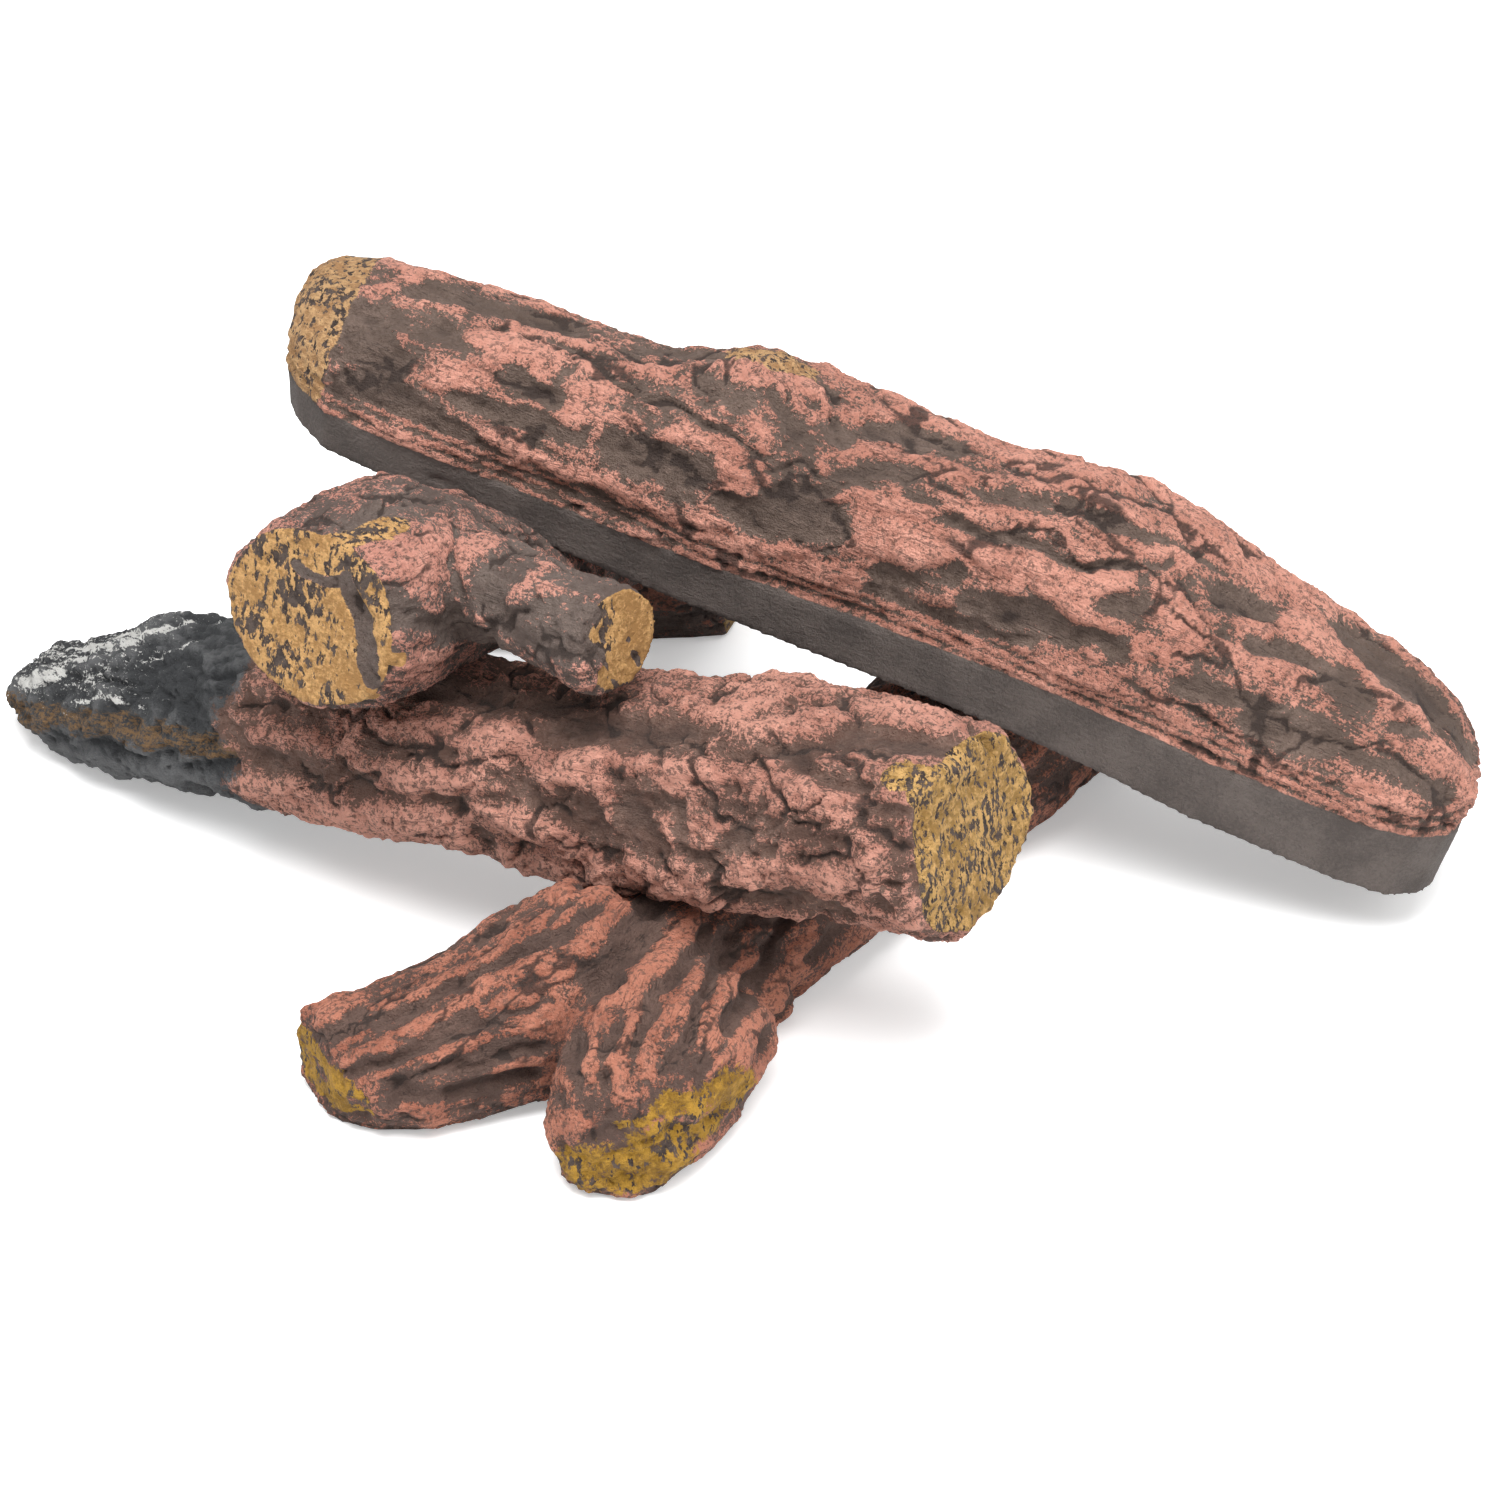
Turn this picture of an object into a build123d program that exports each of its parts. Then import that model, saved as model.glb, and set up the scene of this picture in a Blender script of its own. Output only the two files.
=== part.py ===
from build123d import *
import math
import os

# A stack of five loose cast ceramic gas logs, in millimetres. The fork log and the rear log
# lie on the floor, the front log lies across the fork, the branch log bridges the front and
# rear logs, and the back log crosses on top. The stack has +X to the right, +Y to the back
# and +Z up, with its origin on the floor under the middle.

# Driving dimensions: lengths in millimetres, angles in degrees
seat_gap = 0.3  # air left between two logs that rest on each other
seat_bite = 4.0  # how deep a worn seat is cut into the round of the log above
base_bite = 4.0  # how much of the round is cut away to give a flat base
seat_reach = 62.0  # half the length of the flat where the front log lies on the fork
overrun = 80.0  # how far a cutter runs past what it cuts

back_length = 484.0  # the long log of a set sold as 18 inch
back_width = 104.0
back_height = 92.0
back_yaw = -15.6

stem_length = 270.0
stem_width = 88.0
stem_height = 65.0
stem_yaw = 51.5
prong_length = 173.0  # the cut prong, from inside the stem to its end
prong_width = 76.0
prong_height = 60.0
prong_yaw = 208.8
toe_length = 96.0  # the rounded prong, from inside the stem to its end
toe_width = 58.0
toe_height = 56.0
toe_yaw = 261.0

front_length = 475.0
front_width = 88.0
front_height = 84.0
front_yaw = -33.7
front_tip_sink = 7.5  # how far the line of the front log's underside runs below the floor at the tip

branch_length = 300.0
branch_width = 82.0
branch_height = 80.0
branch_yaw = 58.0
branch_above_front = 26.0  # how much higher than the front log is tall its big cut end lies
branch_face_rise = front_height + branch_above_front
stub_length = 110.0  # from inside the branch log to its cut end
stub_width = 46.0
stub_height = 45.0
stub_yaw = -44.0
stub_pitch = 4.0
stub_rise = 12.0  # how far the stub's own base starts above the big cut end's

rear_length = 147.0
rear_width = 68.0
rear_height = 60.0
rear_yaw = 3.0

# Where each log's own origin stands on the floor plan
back_place = (-173.0, 23.0)
stem_place = (-38.0, -199.0)
prong_place = (0.0, -173.0)
toe_place = (-31.0, -208.0)
front_place = (-305.0, 24.0)
branch_place = (-166.0, -148.0)
stub_place = (-126.0, -92.0)
rear_left_offset = 136.4  # from where the branch log lies on the rear log to the rear log's start
rear_back_offset = 14.9

# Shares of a log's own length at which it lies on the log below
front_on_fork_share = 0.78
branch_on_rear_share = 0.94
branch_front_shares = (0.08, 0.35)  # from where to where the branch log is worn by the front log
branch_rear_shares = (0.80, 1.05)  # from where to where it is worn by the rear log
back_on_fork_share = 0.70

# Crown heights that carry the logs above, as shares of the carrying log's height
fork_under_front_share = 0.90
fork_under_back_share = 0.96
back_left_rise = 164.5  # height of the back log's base at its left end

# Superellipse powers of a log's round, below and above its middle
bedded_powers = (2.6, 2.1)  # for a log cast with a flat base
lying_powers = (2.3, 2.2)
branch_powers = (2.2, 2.2)
crown_power = 2.3

# Lumps round a log: how far they swell, and how many times they turn along it
fork_lumps = (0.03, 2.0)
prong_lumps = (0.03, 1.0)
front_lumps = (0.05, 3.0)
branch_lumps = (0.03, 1.0)
rear_lumps = (0.04, 1.0)
crown_lumps = (0.04, 3.0)
lump_counts = (3, 5)
crown_lump_count = 4

# The back log's left end is cut upright although the log slopes
back_end_lean = 0.31  # how far the cut runs to the left for each millimetre of height
back_lean_reach = 0.11  # share of the log over which the stations straighten again

outline_points = 16
crown_points = 10

# Stations along the back log, as shares: how far along, front inset, back inset, height, wall
back_station_shares = (
    (0.000, 0.21, 0.26, 0.44, 0.12),
    (0.014, 0.12, 0.21, 0.53, 0.13),
    (0.045, 0.01, 0.18, 0.60, 0.14),
    (0.080, 0.00, 0.18, 0.64, 0.15),
    (0.165, 0.00, 0.15, 0.69, 0.17),
    (0.262, 0.00, 0.13, 0.76, 0.20),
    (0.350, 0.00, 0.09, 0.94, 0.21),
    (0.425, 0.02, 0.07, 0.91, 0.22),
    (0.475, 0.03, 0.06, 0.91, 0.23),
    (0.553, 0.05, 0.05, 0.93, 0.25),
    (0.641, 0.06, 0.03, 1.00, 0.27),
    (0.730, 0.04, 0.00, 0.91, 0.29),
    (0.797, 0.00, 0.00, 0.81, 0.30),
    (0.866, 0.00, 0.02, 0.73, 0.31),
    (0.924, 0.00, 0.04, 0.71, 0.31),
    (0.968, 0.04, 0.09, 0.60, 0.30),
    (0.991, 0.13, 0.16, 0.49, 0.28),
    (1.000, 0.22, 0.24, 0.44, 0.26),
)
# Stations along the round logs, as shares: how far along, width, height, sideways, rise
stem_station_shares = (
    (0.000, 0.56, 0.72, 0.00, 0.00),
    (0.080, 0.80, 0.84, 0.00, 0.00),
    (0.180, 0.92, 0.88, 0.00, 0.00),
    (0.300, 0.96, 0.90, 0.00, 0.00),
    (0.420, 0.96, 0.93, 0.00, 0.00),
    (0.560, 0.97, 0.98, 0.00, 0.00),
    (0.700, 1.00, 1.03, 0.00, 0.00),
    (0.850, 1.00, 1.06, 0.00, 0.00),
    (0.980, 0.96, 1.06, 0.00, 0.00),
    (1.000, 0.88, 0.98, 0.00, 0.04),
)
prong_station_shares = (
    (0.000, 0.60, 0.80, 0.10, 0.00),
    (0.200, 0.88, 0.98, 0.04, 0.00),
    (0.400, 0.96, 1.08, 0.01, 0.00),
    (0.550, 0.95, 0.96, 0.00, 0.00),
    (0.700, 0.90, 0.79, 0.00, 0.00),
    (0.860, 0.84, 0.70, -0.03, 0.00),
    (0.940, 0.71, 0.67, -0.09, 0.00),
    (0.985, 0.54, 0.62, -0.16, 0.01),
    (1.000, 0.42, 0.52, -0.19, 0.05),
)
toe_station_shares = (
    (0.000, 0.90, 0.96, 0.00, 0.00),
    (0.250, 1.22, 1.00, 0.11, 0.00),
    (0.500, 1.20, 1.00, 0.08, 0.00),
    (0.700, 1.08, 0.98, 0.03, 0.00),
    (0.850, 0.90, 0.92, -0.03, 0.00),
    (0.940, 0.72, 0.78, -0.05, 0.00),
    (1.000, 0.42, 0.48, -0.06, 0.12),
)
front_station_shares = (
    (0.000, 0.12, 0.12, 0.00, 0.16),
    (0.015, 0.26, 0.20, 0.01, 0.17),
    (0.060, 0.52, 0.50, 0.03, 0.04),
    (0.120, 0.68, 0.64, 0.04, 0.00),
    (0.200, 0.80, 0.76, 0.03, 0.00),
    (0.280, 0.83, 0.80, 0.02, 0.00),
    (0.360, 0.86, 0.83, 0.00, 0.00),
    (0.440, 0.85, 0.82, -0.01, 0.00),
    (0.530, 0.87, 0.84, -0.01, 0.00),
    (0.620, 0.90, 0.87, -0.01, 0.00),
    (0.710, 0.93, 0.91, 0.00, 0.00),
    (0.800, 0.97, 0.98, 0.00, -0.06),
    (0.890, 0.95, 0.95, 0.01, 0.00),
    (0.965, 0.94, 0.94, 0.00, 0.00),
    (0.990, 0.90, 0.90, 0.00, 0.02),
    (1.000, 0.83, 0.83, 0.00, 0.05),
)
branch_station_shares = (
    (0.000, 0.90, 0.82, 0.00, 0.05),
    (0.022, 0.98, 0.90, 0.00, 0.01),
    (0.110, 1.00, 0.96, 0.00, 0.00),
    (0.200, 0.98, 0.96, 0.00, 0.00),
    (0.290, 0.94, 0.80, 0.00, 0.00),
    (0.370, 0.88, 0.67, 0.00, 0.00),
    (0.480, 0.84, 0.63, 0.00, 0.00),
    (0.600, 0.80, 0.63, 0.00, 0.00),
    (0.750, 0.76, 0.65, 0.00, 0.00),
    (0.900, 0.72, 0.66, 0.00, 0.00),
    (0.980, 0.68, 0.63, 0.00, 0.00),
    (1.000, 0.58, 0.54, 0.00, 0.04),
)
stub_station_shares = (
    (0.000, 0.90, 0.90, 0.00, 0.00),
    (0.250, 0.90, 0.90, 0.00, 0.02),
    (0.500, 0.86, 0.86, 0.00, 0.04),
    (0.750, 0.84, 0.84, 0.00, 0.05),
    (0.965, 0.92, 0.92, 0.00, 0.03),
    (1.000, 0.84, 0.84, 0.00, 0.07),
)
rear_station_shares = (
    (0.000, 0.66, 0.70, 0.00, 0.05),
    (0.035, 0.82, 0.86, 0.00, 0.00),
    (0.180, 0.94, 0.96, 0.02, 0.00),
    (0.350, 1.00, 1.00, 0.03, 0.00),
    (0.520, 0.98, 1.00, 0.02, 0.00),
    (0.700, 0.96, 1.00, -0.01, 0.00),
    (0.860, 0.94, 0.98, -0.02, 0.00),
    (0.960, 0.82, 0.86, -0.01, 0.00),
    (1.000, 0.60, 0.64, 0.00, 0.08),
)


def own_frame(place, height, yaw, pitch):
    """A log's own frame: +X along the log, +Y across it, +Z up from its underside."""
    turn = math.radians(yaw)
    climb = math.radians(pitch)
    along = Vector(
        math.cos(turn) * math.cos(climb), math.sin(turn) * math.cos(climb), math.sin(climb)
    )
    up = Vector(
        -math.cos(turn) * math.sin(climb), -math.sin(turn) * math.sin(climb), math.cos(climb)
    )
    return Plane(origin=(place[0], place[1], height), x_dir=along, z_dir=up)


def signed_power(value, power):
    """Raises the size of a value to a power and keeps its sign."""
    return math.copysign(abs(value) ** power, value)


def station_outline(width, height, powers, lumps, along):
    """Closed outline about its own middle, a superellipse with lumps that turn along the log."""
    swell_share, swings = lumps
    swing = 2 * math.pi * swings * along
    few, many = lump_counts
    points = []
    for i in range(outline_points):
        turn = 2 * math.pi * i / outline_points
        power = powers[1] if math.sin(turn) > 0 else powers[0]
        lump = math.cos(few * turn + swing) + math.cos(many * turn - 2 * swing)
        swell = 1 + swell_share * lump / 2
        across = signed_power(math.cos(turn), 2 / power) * swell * width / 2
        up = signed_power(math.sin(turn), 2 / power) * swell * height / 2
        points.append((across, up))
    return points


def cast_log(frame, length, width, height, station_shares, powers, lumps, flat=True):
    """Ruled loft through a log's stations in its own frame, with a flat base if asked."""
    sink = base_bite if flat else 0
    rings = []
    for along, wide, tall, sideways, rise in station_shares:
        tall_here = height * tall + sink
        middle = height * rise + tall_here / 2 - sink
        points = station_outline(width * wide, tall_here, powers, lumps, along)
        vectors = [Vector(length * along, width * sideways + y, middle + z) for y, z in points]
        rings.append(Wire(Edge.make_spline(vectors, periodic=True)))
    log = Solid.make_loft(rings, ruled=True)
    if flat:
        log = log - Pos(length / 2, 0, -overrun / 2) * Box(length + overrun, width + overrun, overrun)
    return frame.location * log


def walled_ring(along, front, back, height, wall):
    """One station of the back log: flat base, two upright cast walls and a lumpy crown."""
    swell_share, swings = crown_lumps
    swing = 2 * math.pi * swings * along
    middle = (front + back) / 2
    lean = back_end_lean * max(0, 1 - along / back_lean_reach)
    crown = []
    for i in range(crown_points + 1):
        turn = math.pi * i / crown_points
        swell = 1 + swell_share * math.sin(turn) * math.cos(crown_lump_count * turn + swing)
        across = signed_power(math.cos(turn), 2 / crown_power) * (back - front) / 2
        up = signed_power(math.sin(turn), 2 / crown_power) * swell * (height - wall)
        crown.append(Vector(back_length * along - lean * (wall + up), middle + across, wall + up))
    foot_front = Vector(back_length * along, front, 0)
    foot_back = Vector(back_length * along, back, 0)
    walls = [
        Edge.make_line(crown[-1], foot_front),
        Edge.make_line(foot_front, foot_back),
        Edge.make_line(foot_back, crown[0]),
    ]
    return Wire([Edge.make_spline(crown), *walls])


def block(frame, x_range, y_range, z_range):
    """Cutter with flat faces, given by its ranges in a log's own frame."""
    size = [high - low for low, high in (x_range, y_range, z_range)]
    middle = [(high + low) / 2 for low, high in (x_range, y_range, z_range)]
    return frame.location * Pos(*middle) * Box(*size)


def pitch_over(rise, run):
    """Pitch in degrees of a log that climbs by a rise over a run of its own length."""
    return math.degrees(math.asin(rise / run))


fork_seat_front = stem_height * fork_under_front_share - seat_bite
fork_seat_back = stem_height * fork_under_back_share
front_pitch = pitch_over(fork_seat_front + front_tip_sink, front_length * front_on_fork_share)
rear_seat = rear_height - seat_bite
branch_rest = branch_length * branch_on_rear_share
branch_pitch = pitch_over(rear_seat - branch_face_rise, branch_rest)
back_pitch = pitch_over(fork_seat_back - back_left_rise, back_length * back_on_fork_share)
print("pitches", front_pitch, branch_pitch, back_pitch)

stem_frame = own_frame(stem_place, 0, stem_yaw, 0)
prong_frame = own_frame(prong_place, 0, prong_yaw, 0)
toe_frame = own_frame(toe_place, 0, toe_yaw, 0)
front_frame = own_frame(front_place, -front_tip_sink, front_yaw, front_pitch)
branch_frame = own_frame(branch_place, branch_face_rise, branch_yaw, branch_pitch)
stub_frame = own_frame(stub_place, branch_face_rise + stub_rise, stub_yaw, stub_pitch)
rear_frame = own_frame(
    (
        branch_place[0] + branch_rest * math.cos(math.radians(branch_yaw)) - rear_left_offset,
        branch_place[1] + branch_rest * math.sin(math.radians(branch_yaw)) + rear_back_offset,
    ),
    0,
    rear_yaw,
    0,
)
back_frame = own_frame(back_place, back_left_rise, back_yaw, back_pitch)

fork = cast_log(
    stem_frame, stem_length, stem_width, stem_height, stem_station_shares, bedded_powers, fork_lumps
)
fork = fork + cast_log(
    prong_frame, prong_length, prong_width, prong_height, prong_station_shares, bedded_powers, prong_lumps
)
fork = fork + cast_log(
    toe_frame, toe_length, toe_width, toe_height, toe_station_shares, bedded_powers, prong_lumps
)
front = cast_log(
    front_frame,
    front_length,
    front_width,
    front_height,
    front_station_shares,
    lying_powers,
    front_lumps,
    flat=False,
)
branch = cast_log(
    branch_frame,
    branch_length,
    branch_width,
    branch_height,
    branch_station_shares,
    branch_powers,
    branch_lumps,
    flat=False,
)
branch = branch + cast_log(
    stub_frame,
    stub_length,
    stub_width,
    stub_height,
    stub_station_shares,
    branch_powers,
    branch_lumps,
    flat=False,
)
rear = cast_log(
    rear_frame, rear_length, rear_width, rear_height, rear_station_shares, bedded_powers, rear_lumps
)
back_rings = [
    walled_ring(
        along,
        back_width * (front_inset - 1 / 2),
        back_width * (1 / 2 - back_inset),
        back_height * tall,
        back_height * wall,
    )
    for along, front_inset, back_inset, tall, wall in back_station_shares
]
back = back_frame.location * Solid.make_loft(back_rings, ruled=True)


def seated(upper, lower, frame, x_range, reach, level):
    """Wears matching flats, seat_gap apart, into a log and the log it rests on."""
    upper = upper - block(frame, x_range, (-overrun, overrun), (-overrun, level))
    lower = lower - block(frame, x_range, (-reach, reach), (level - seat_gap, overrun))
    return upper, lower


front_seat = front_length * front_on_fork_share
front_seat_range = (front_seat - seat_reach, front_seat + seat_reach)
branch_front_range = (branch_length * branch_front_shares[0], branch_length * branch_front_shares[1])
branch_rear_range = (branch_length * branch_rear_shares[0], branch_length * branch_rear_shares[1])
back_reach = back_width / 2 + seat_gap
back_range = (-overrun, back_length + overrun)

front, fork = seated(front, fork, front_frame, front_seat_range, front_width / 2, seat_bite)
branch, front = seated(branch, front, branch_frame, branch_front_range, branch_width / 2, seat_bite)
branch, rear = seated(branch, rear, branch_frame, branch_rear_range, branch_width / 2, seat_bite)
back_bed = block(back_frame, back_range, (-back_reach, back_reach), (-seat_gap, overrun))
branch = branch - back_bed
fork = fork - back_bed

logs = {
    "fork_log": fork.solid(),
    "rear_log": rear.solid(),
    "front_log": front.solid(),
    "branch_log": branch.solid(),
    "back_log": back.solid(),
}

# Moves the stack so that its origin is on the floor under the middle of its box
boxes = [log.bounding_box() for log in logs.values()]
middle_x = (min(box.min.X for box in boxes) + max(box.max.X for box in boxes)) / 2
middle_y = (min(box.min.Y for box in boxes) + max(box.max.Y for box in boxes)) / 2
floor_z = min(box.min.Z for box in boxes)
layout_shift = (-middle_x, -middle_y, -floor_z)
print("shift", layout_shift)

os.makedirs("parts", exist_ok=True)
for name, log in logs.items():
    box = log.bounding_box()
    print(name, "lowest", box.min.Z - floor_z, "size", box.size, "volume", log.volume)
    export_step(Pos(*layout_shift) * log, f"parts/{name}.step")
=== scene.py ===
import bmesh
import bpy
import math
import numpy as np
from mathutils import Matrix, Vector
from mathutils.bvhtree import BVHTree


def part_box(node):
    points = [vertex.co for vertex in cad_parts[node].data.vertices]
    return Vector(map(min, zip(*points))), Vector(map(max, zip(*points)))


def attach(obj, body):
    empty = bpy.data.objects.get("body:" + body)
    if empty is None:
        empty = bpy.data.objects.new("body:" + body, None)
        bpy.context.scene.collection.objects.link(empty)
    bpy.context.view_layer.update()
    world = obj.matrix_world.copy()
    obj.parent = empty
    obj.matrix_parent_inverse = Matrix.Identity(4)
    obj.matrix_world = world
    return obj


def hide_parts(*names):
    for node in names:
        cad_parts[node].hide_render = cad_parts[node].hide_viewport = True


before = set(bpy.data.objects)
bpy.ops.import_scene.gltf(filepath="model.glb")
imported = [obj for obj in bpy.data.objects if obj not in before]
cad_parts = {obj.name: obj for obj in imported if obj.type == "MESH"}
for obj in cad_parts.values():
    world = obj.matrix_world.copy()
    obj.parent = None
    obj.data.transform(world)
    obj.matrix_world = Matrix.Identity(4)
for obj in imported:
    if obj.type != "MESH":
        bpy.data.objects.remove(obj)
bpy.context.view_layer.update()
print("frame loaded,", len(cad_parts), "solids")

# Five cast logs, each a voxel copy of its CAD solid with bark worked into it.
# Sizes and places on the logs are in millimetres and degrees, and the scene is in metres.
toMillimetres = 1000
stackShift = (11.583, 79.658, 0.0)  # added to the logs' own places to stand them in the frame

# the photo's camera, and the square picture that columns and rows are read from
photoView = {
    "side": 1500,  # columns and rows
    "sensor": 36.0,
    "lens": 104.1,
    "away": (0.0, -1.5265, 0.95385),  # the camera from the stack, in metres
    "pixel": 0.415,  # what a pixel covers at the stack, in millimetres
    "clip": 30,  # how far the camera sees, in metres
}
aim = Vector(stackShift) / toMillimetres
eye = aim + Vector(photoView["away"])
gaze = (aim - eye).to_track_quat("-Z", "Y")
noiseMiddle = 0.5


# makes and joins the nodes of one tree
class Net:
    def __init__(self, tree):
        self.tree = tree

    def put(self, kind, settings=None, sockets=None):
        made = self.tree.nodes.new(kind)
        for name, value in (settings or {}).items():
            setattr(made, name, value)
        for key, value in (sockets or {}).items():
            if isinstance(value, bpy.types.NodeSocket):
                self.tree.links.new(value, made.inputs[key])
            else:
                made.inputs[key].default_value = value
        return made

    def maths(self, operation, *values):
        made = self.put("ShaderNodeMath", {"operation": operation}, dict(enumerate(values)))
        return made.outputs[0]

    def vectors(self, operation, *values):
        made = self.put("ShaderNodeVectorMath", {"operation": operation}, dict(enumerate(values)))
        return made.outputs[0]

    def less(self, value, taken):
        return self.maths("SUBTRACT", value, taken)

    def times(self, value, factor):
        return self.maths("MULTIPLY", value, factor)

    def most(self, *values):
        return self.maths("MAXIMUM", *values)

    def off(self, value, centre):
        return self.maths("ABSOLUTE", self.less(value, centre))

    def mix(self, *weighed):
        # adds up values, each a pair with its weight where the weight isn't 1
        total = None
        for item in weighed:
            part = self.times(*item) if isinstance(item, tuple) else item
            total = part if total is None else self.maths("ADD", total, part)
        return total

    def noise(self, vector, scale=1.0, detail=2.0, roughness=0.5, seed=0.0, output=0):
        sockets = {"Vector": vector, "W": seed, "Scale": scale, "Detail": detail, "Roughness": roughness}
        return self.put("ShaderNodeTexNoise", {"noise_dimensions": "4D"}, sockets).outputs[output]

    def ripple(self, vector, scale=1.0, detail=2.0, roughness=0.5, seed=0.0):
        # a noise that swings about 0
        return self.less(self.noise(vector, scale, detail, roughness, seed), noiseMiddle)

    def ramp(self, value, low, high):
        sockets = {"Value": value, "From Min": low, "From Max": high}
        return self.put("ShaderNodeMapRange", {"interpolation_type": "SMOOTHSTEP"}, sockets).outputs[0]

    def tint(self, share, first, second):
        made = self.put("ShaderNodeMix", {"data_type": "RGBA"}, {0: share, 6: first, 7: second})
        return made.outputs[2]

    def split(self, vector):
        made = self.put("ShaderNodeSeparateXYZ", None, {0: vector})
        return [made.outputs[axis] for axis in range(3)]


# a limb of a log: a straight line that the bark's grain follows
class Limb:
    def __init__(self, place, rise, yaw, pitch, length, middle, radius):
        turn, tilt = math.radians(yaw), math.radians(pitch)
        self.origin = np.array([place[0] + stackShift[0], place[1] + stackShift[1], rise])
        east, north = math.cos(turn), math.sin(turn)
        level, climb = math.cos(tilt), math.sin(tilt)
        self.along = np.array([east * level, north * level, climb])
        self.up = np.array([-east * climb, -north * climb, level])
        self.side = np.cross(self.up, self.along)
        self.length, self.middle, self.radius = length, middle, radius

    def local(self, points):
        offset = points * toMillimetres - self.origin
        return np.stack([offset @ self.along, offset @ self.side, offset @ self.up - self.middle], 1)


def smooth(value, low, high):
    share = np.clip((value - low) / (high - low), 0, 1)
    return share * share * (3 - 2 * share)


def limbShares(limbs, points, sharpness=9):
    # each point's place along every limb, and how far it belongs to each
    local = [limb.local(points) for limb in limbs]
    away = []
    for limb, place in zip(limbs, local):
        beyond = np.maximum(np.maximum(-place[:, 0], place[:, 0] - limb.length), 0)
        away.append(np.sqrt(place[:, 1] ** 2 + place[:, 2] ** 2 + beyond ** 2) / limb.radius)
    near = np.exp(-np.array(away) * sharpness)
    return local, near / near.sum(0)


def applyModifiers(piece):
    bpy.context.view_layer.update()
    graph = bpy.context.evaluated_depsgraph_get()
    evaluated = piece.evaluated_get(graph)
    plain = bpy.data.meshes.new_from_object(evaluated, preserve_all_data_layers=True, depsgraph=graph)
    piece.modifiers.clear()
    old = piece.data
    piece.data = plain
    bpy.data.meshes.remove(old)


def voxelCopy(nodeName, pieceName, grain, merge=1e-5):
    mesh = bpy.data.meshes.new(pieceName)
    work = bmesh.new()
    work.from_mesh(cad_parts[nodeName].data)
    bmesh.ops.remove_doubles(work, verts=work.verts, dist=merge)
    work.to_mesh(mesh)
    work.free()
    piece = bpy.data.objects.new(pieceName, mesh)
    bpy.context.scene.collection.objects.link(piece)
    remesh = piece.modifiers.new("grain", "REMESH")
    remesh.mode = "VOXEL"
    remesh.voxel_size = grain
    applyModifiers(piece)
    return piece


def perPoint(piece, label):
    flat = np.zeros(len(piece.data.vertices) * 3, np.float32)
    piece.data.vertices.foreach_get(label, flat)
    return flat.reshape(-1, 3).astype(float)


def keepAttribute(piece, name, values, kind="FLOAT"):
    layer = piece.data.attributes.new(name, kind, "POINT")
    label = "vector" if kind == "FLOAT_VECTOR" else "value"
    layer.data.foreach_set(label, np.ascontiguousarray(values, np.float32).ravel())


# where a log lies on another log or on the floor, the bark fades out: from no bark to full bark
seats = {"log": (0.6, 6.0), "floor": (0.4, 3.0)}


def seatRoom(nodeName, points):
    far = seats["log"][1]
    reach = far / toMillimetres
    corners, faces, close = [], [], np.zeros(len(points), bool)
    for other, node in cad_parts.items():
        if other != nodeName:
            start = len(corners)
            corners += [v.co for v in node.data.vertices]
            faces += [[start + i for i in poly.vertices] for poly in node.data.polygons]
            low, high = (np.array(corner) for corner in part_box(other))
            close |= ((points > low - reach) & (points < high + reach)).all(1)
    tree = BVHTree.FromPolygons(corners, faces)
    away = np.full(len(points), far)
    for i in np.flatnonzero(close):
        distance = tree.find_nearest(Vector(points[i]), reach)[3]
        if distance is not None:
            away[i] = distance * toMillimetres
    return smooth(away, *seats["log"]) * smooth(points[:, 2] * toMillimetres, *seats["floor"])


# the bark rule: long lumps, grooves along the grain, plates with crevices, pits and grit
barkRule = {
    "bend": (0.022, 30.0),  # bends the grain: noise scale and reach
    "crumble": (0.16, 9.0),  # frays the edges of the plates
    # scale, detail and roughness of each noise
    "lumpNoise": (1.0, 1.0, 0.4), "grooveNoise": (1.0, 2.5, 0.6), "pitNoise": (1.0, 2.0, 0.6),
    "gritNoise": (1.0, 2.5, 0.65), "creviceNoise": (1.6, 1.0, 0.5),
    "lumpGain": 4.5, "grooveGain": 6.0, "gritGain": 9.0,
    "grooveCaps": (0.8, -1.2),
    "pitEdge": (0.57, 0.66), "creviceEdge": (0.10, 0.01),
    "creviceRuns": (0.42, 0.56),  # crevices open where their noise is above this
    "gritSize": (8.5, 4.2),
    "limbSeed": 3.7, "grooveSeed": 1.3, "creviceSeed": 2.1,
    "crackDepth": 1.6,
    "deepest": (0.3, -2.6),  # below this depth in millimetres the bark goes on at this share
}


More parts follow.
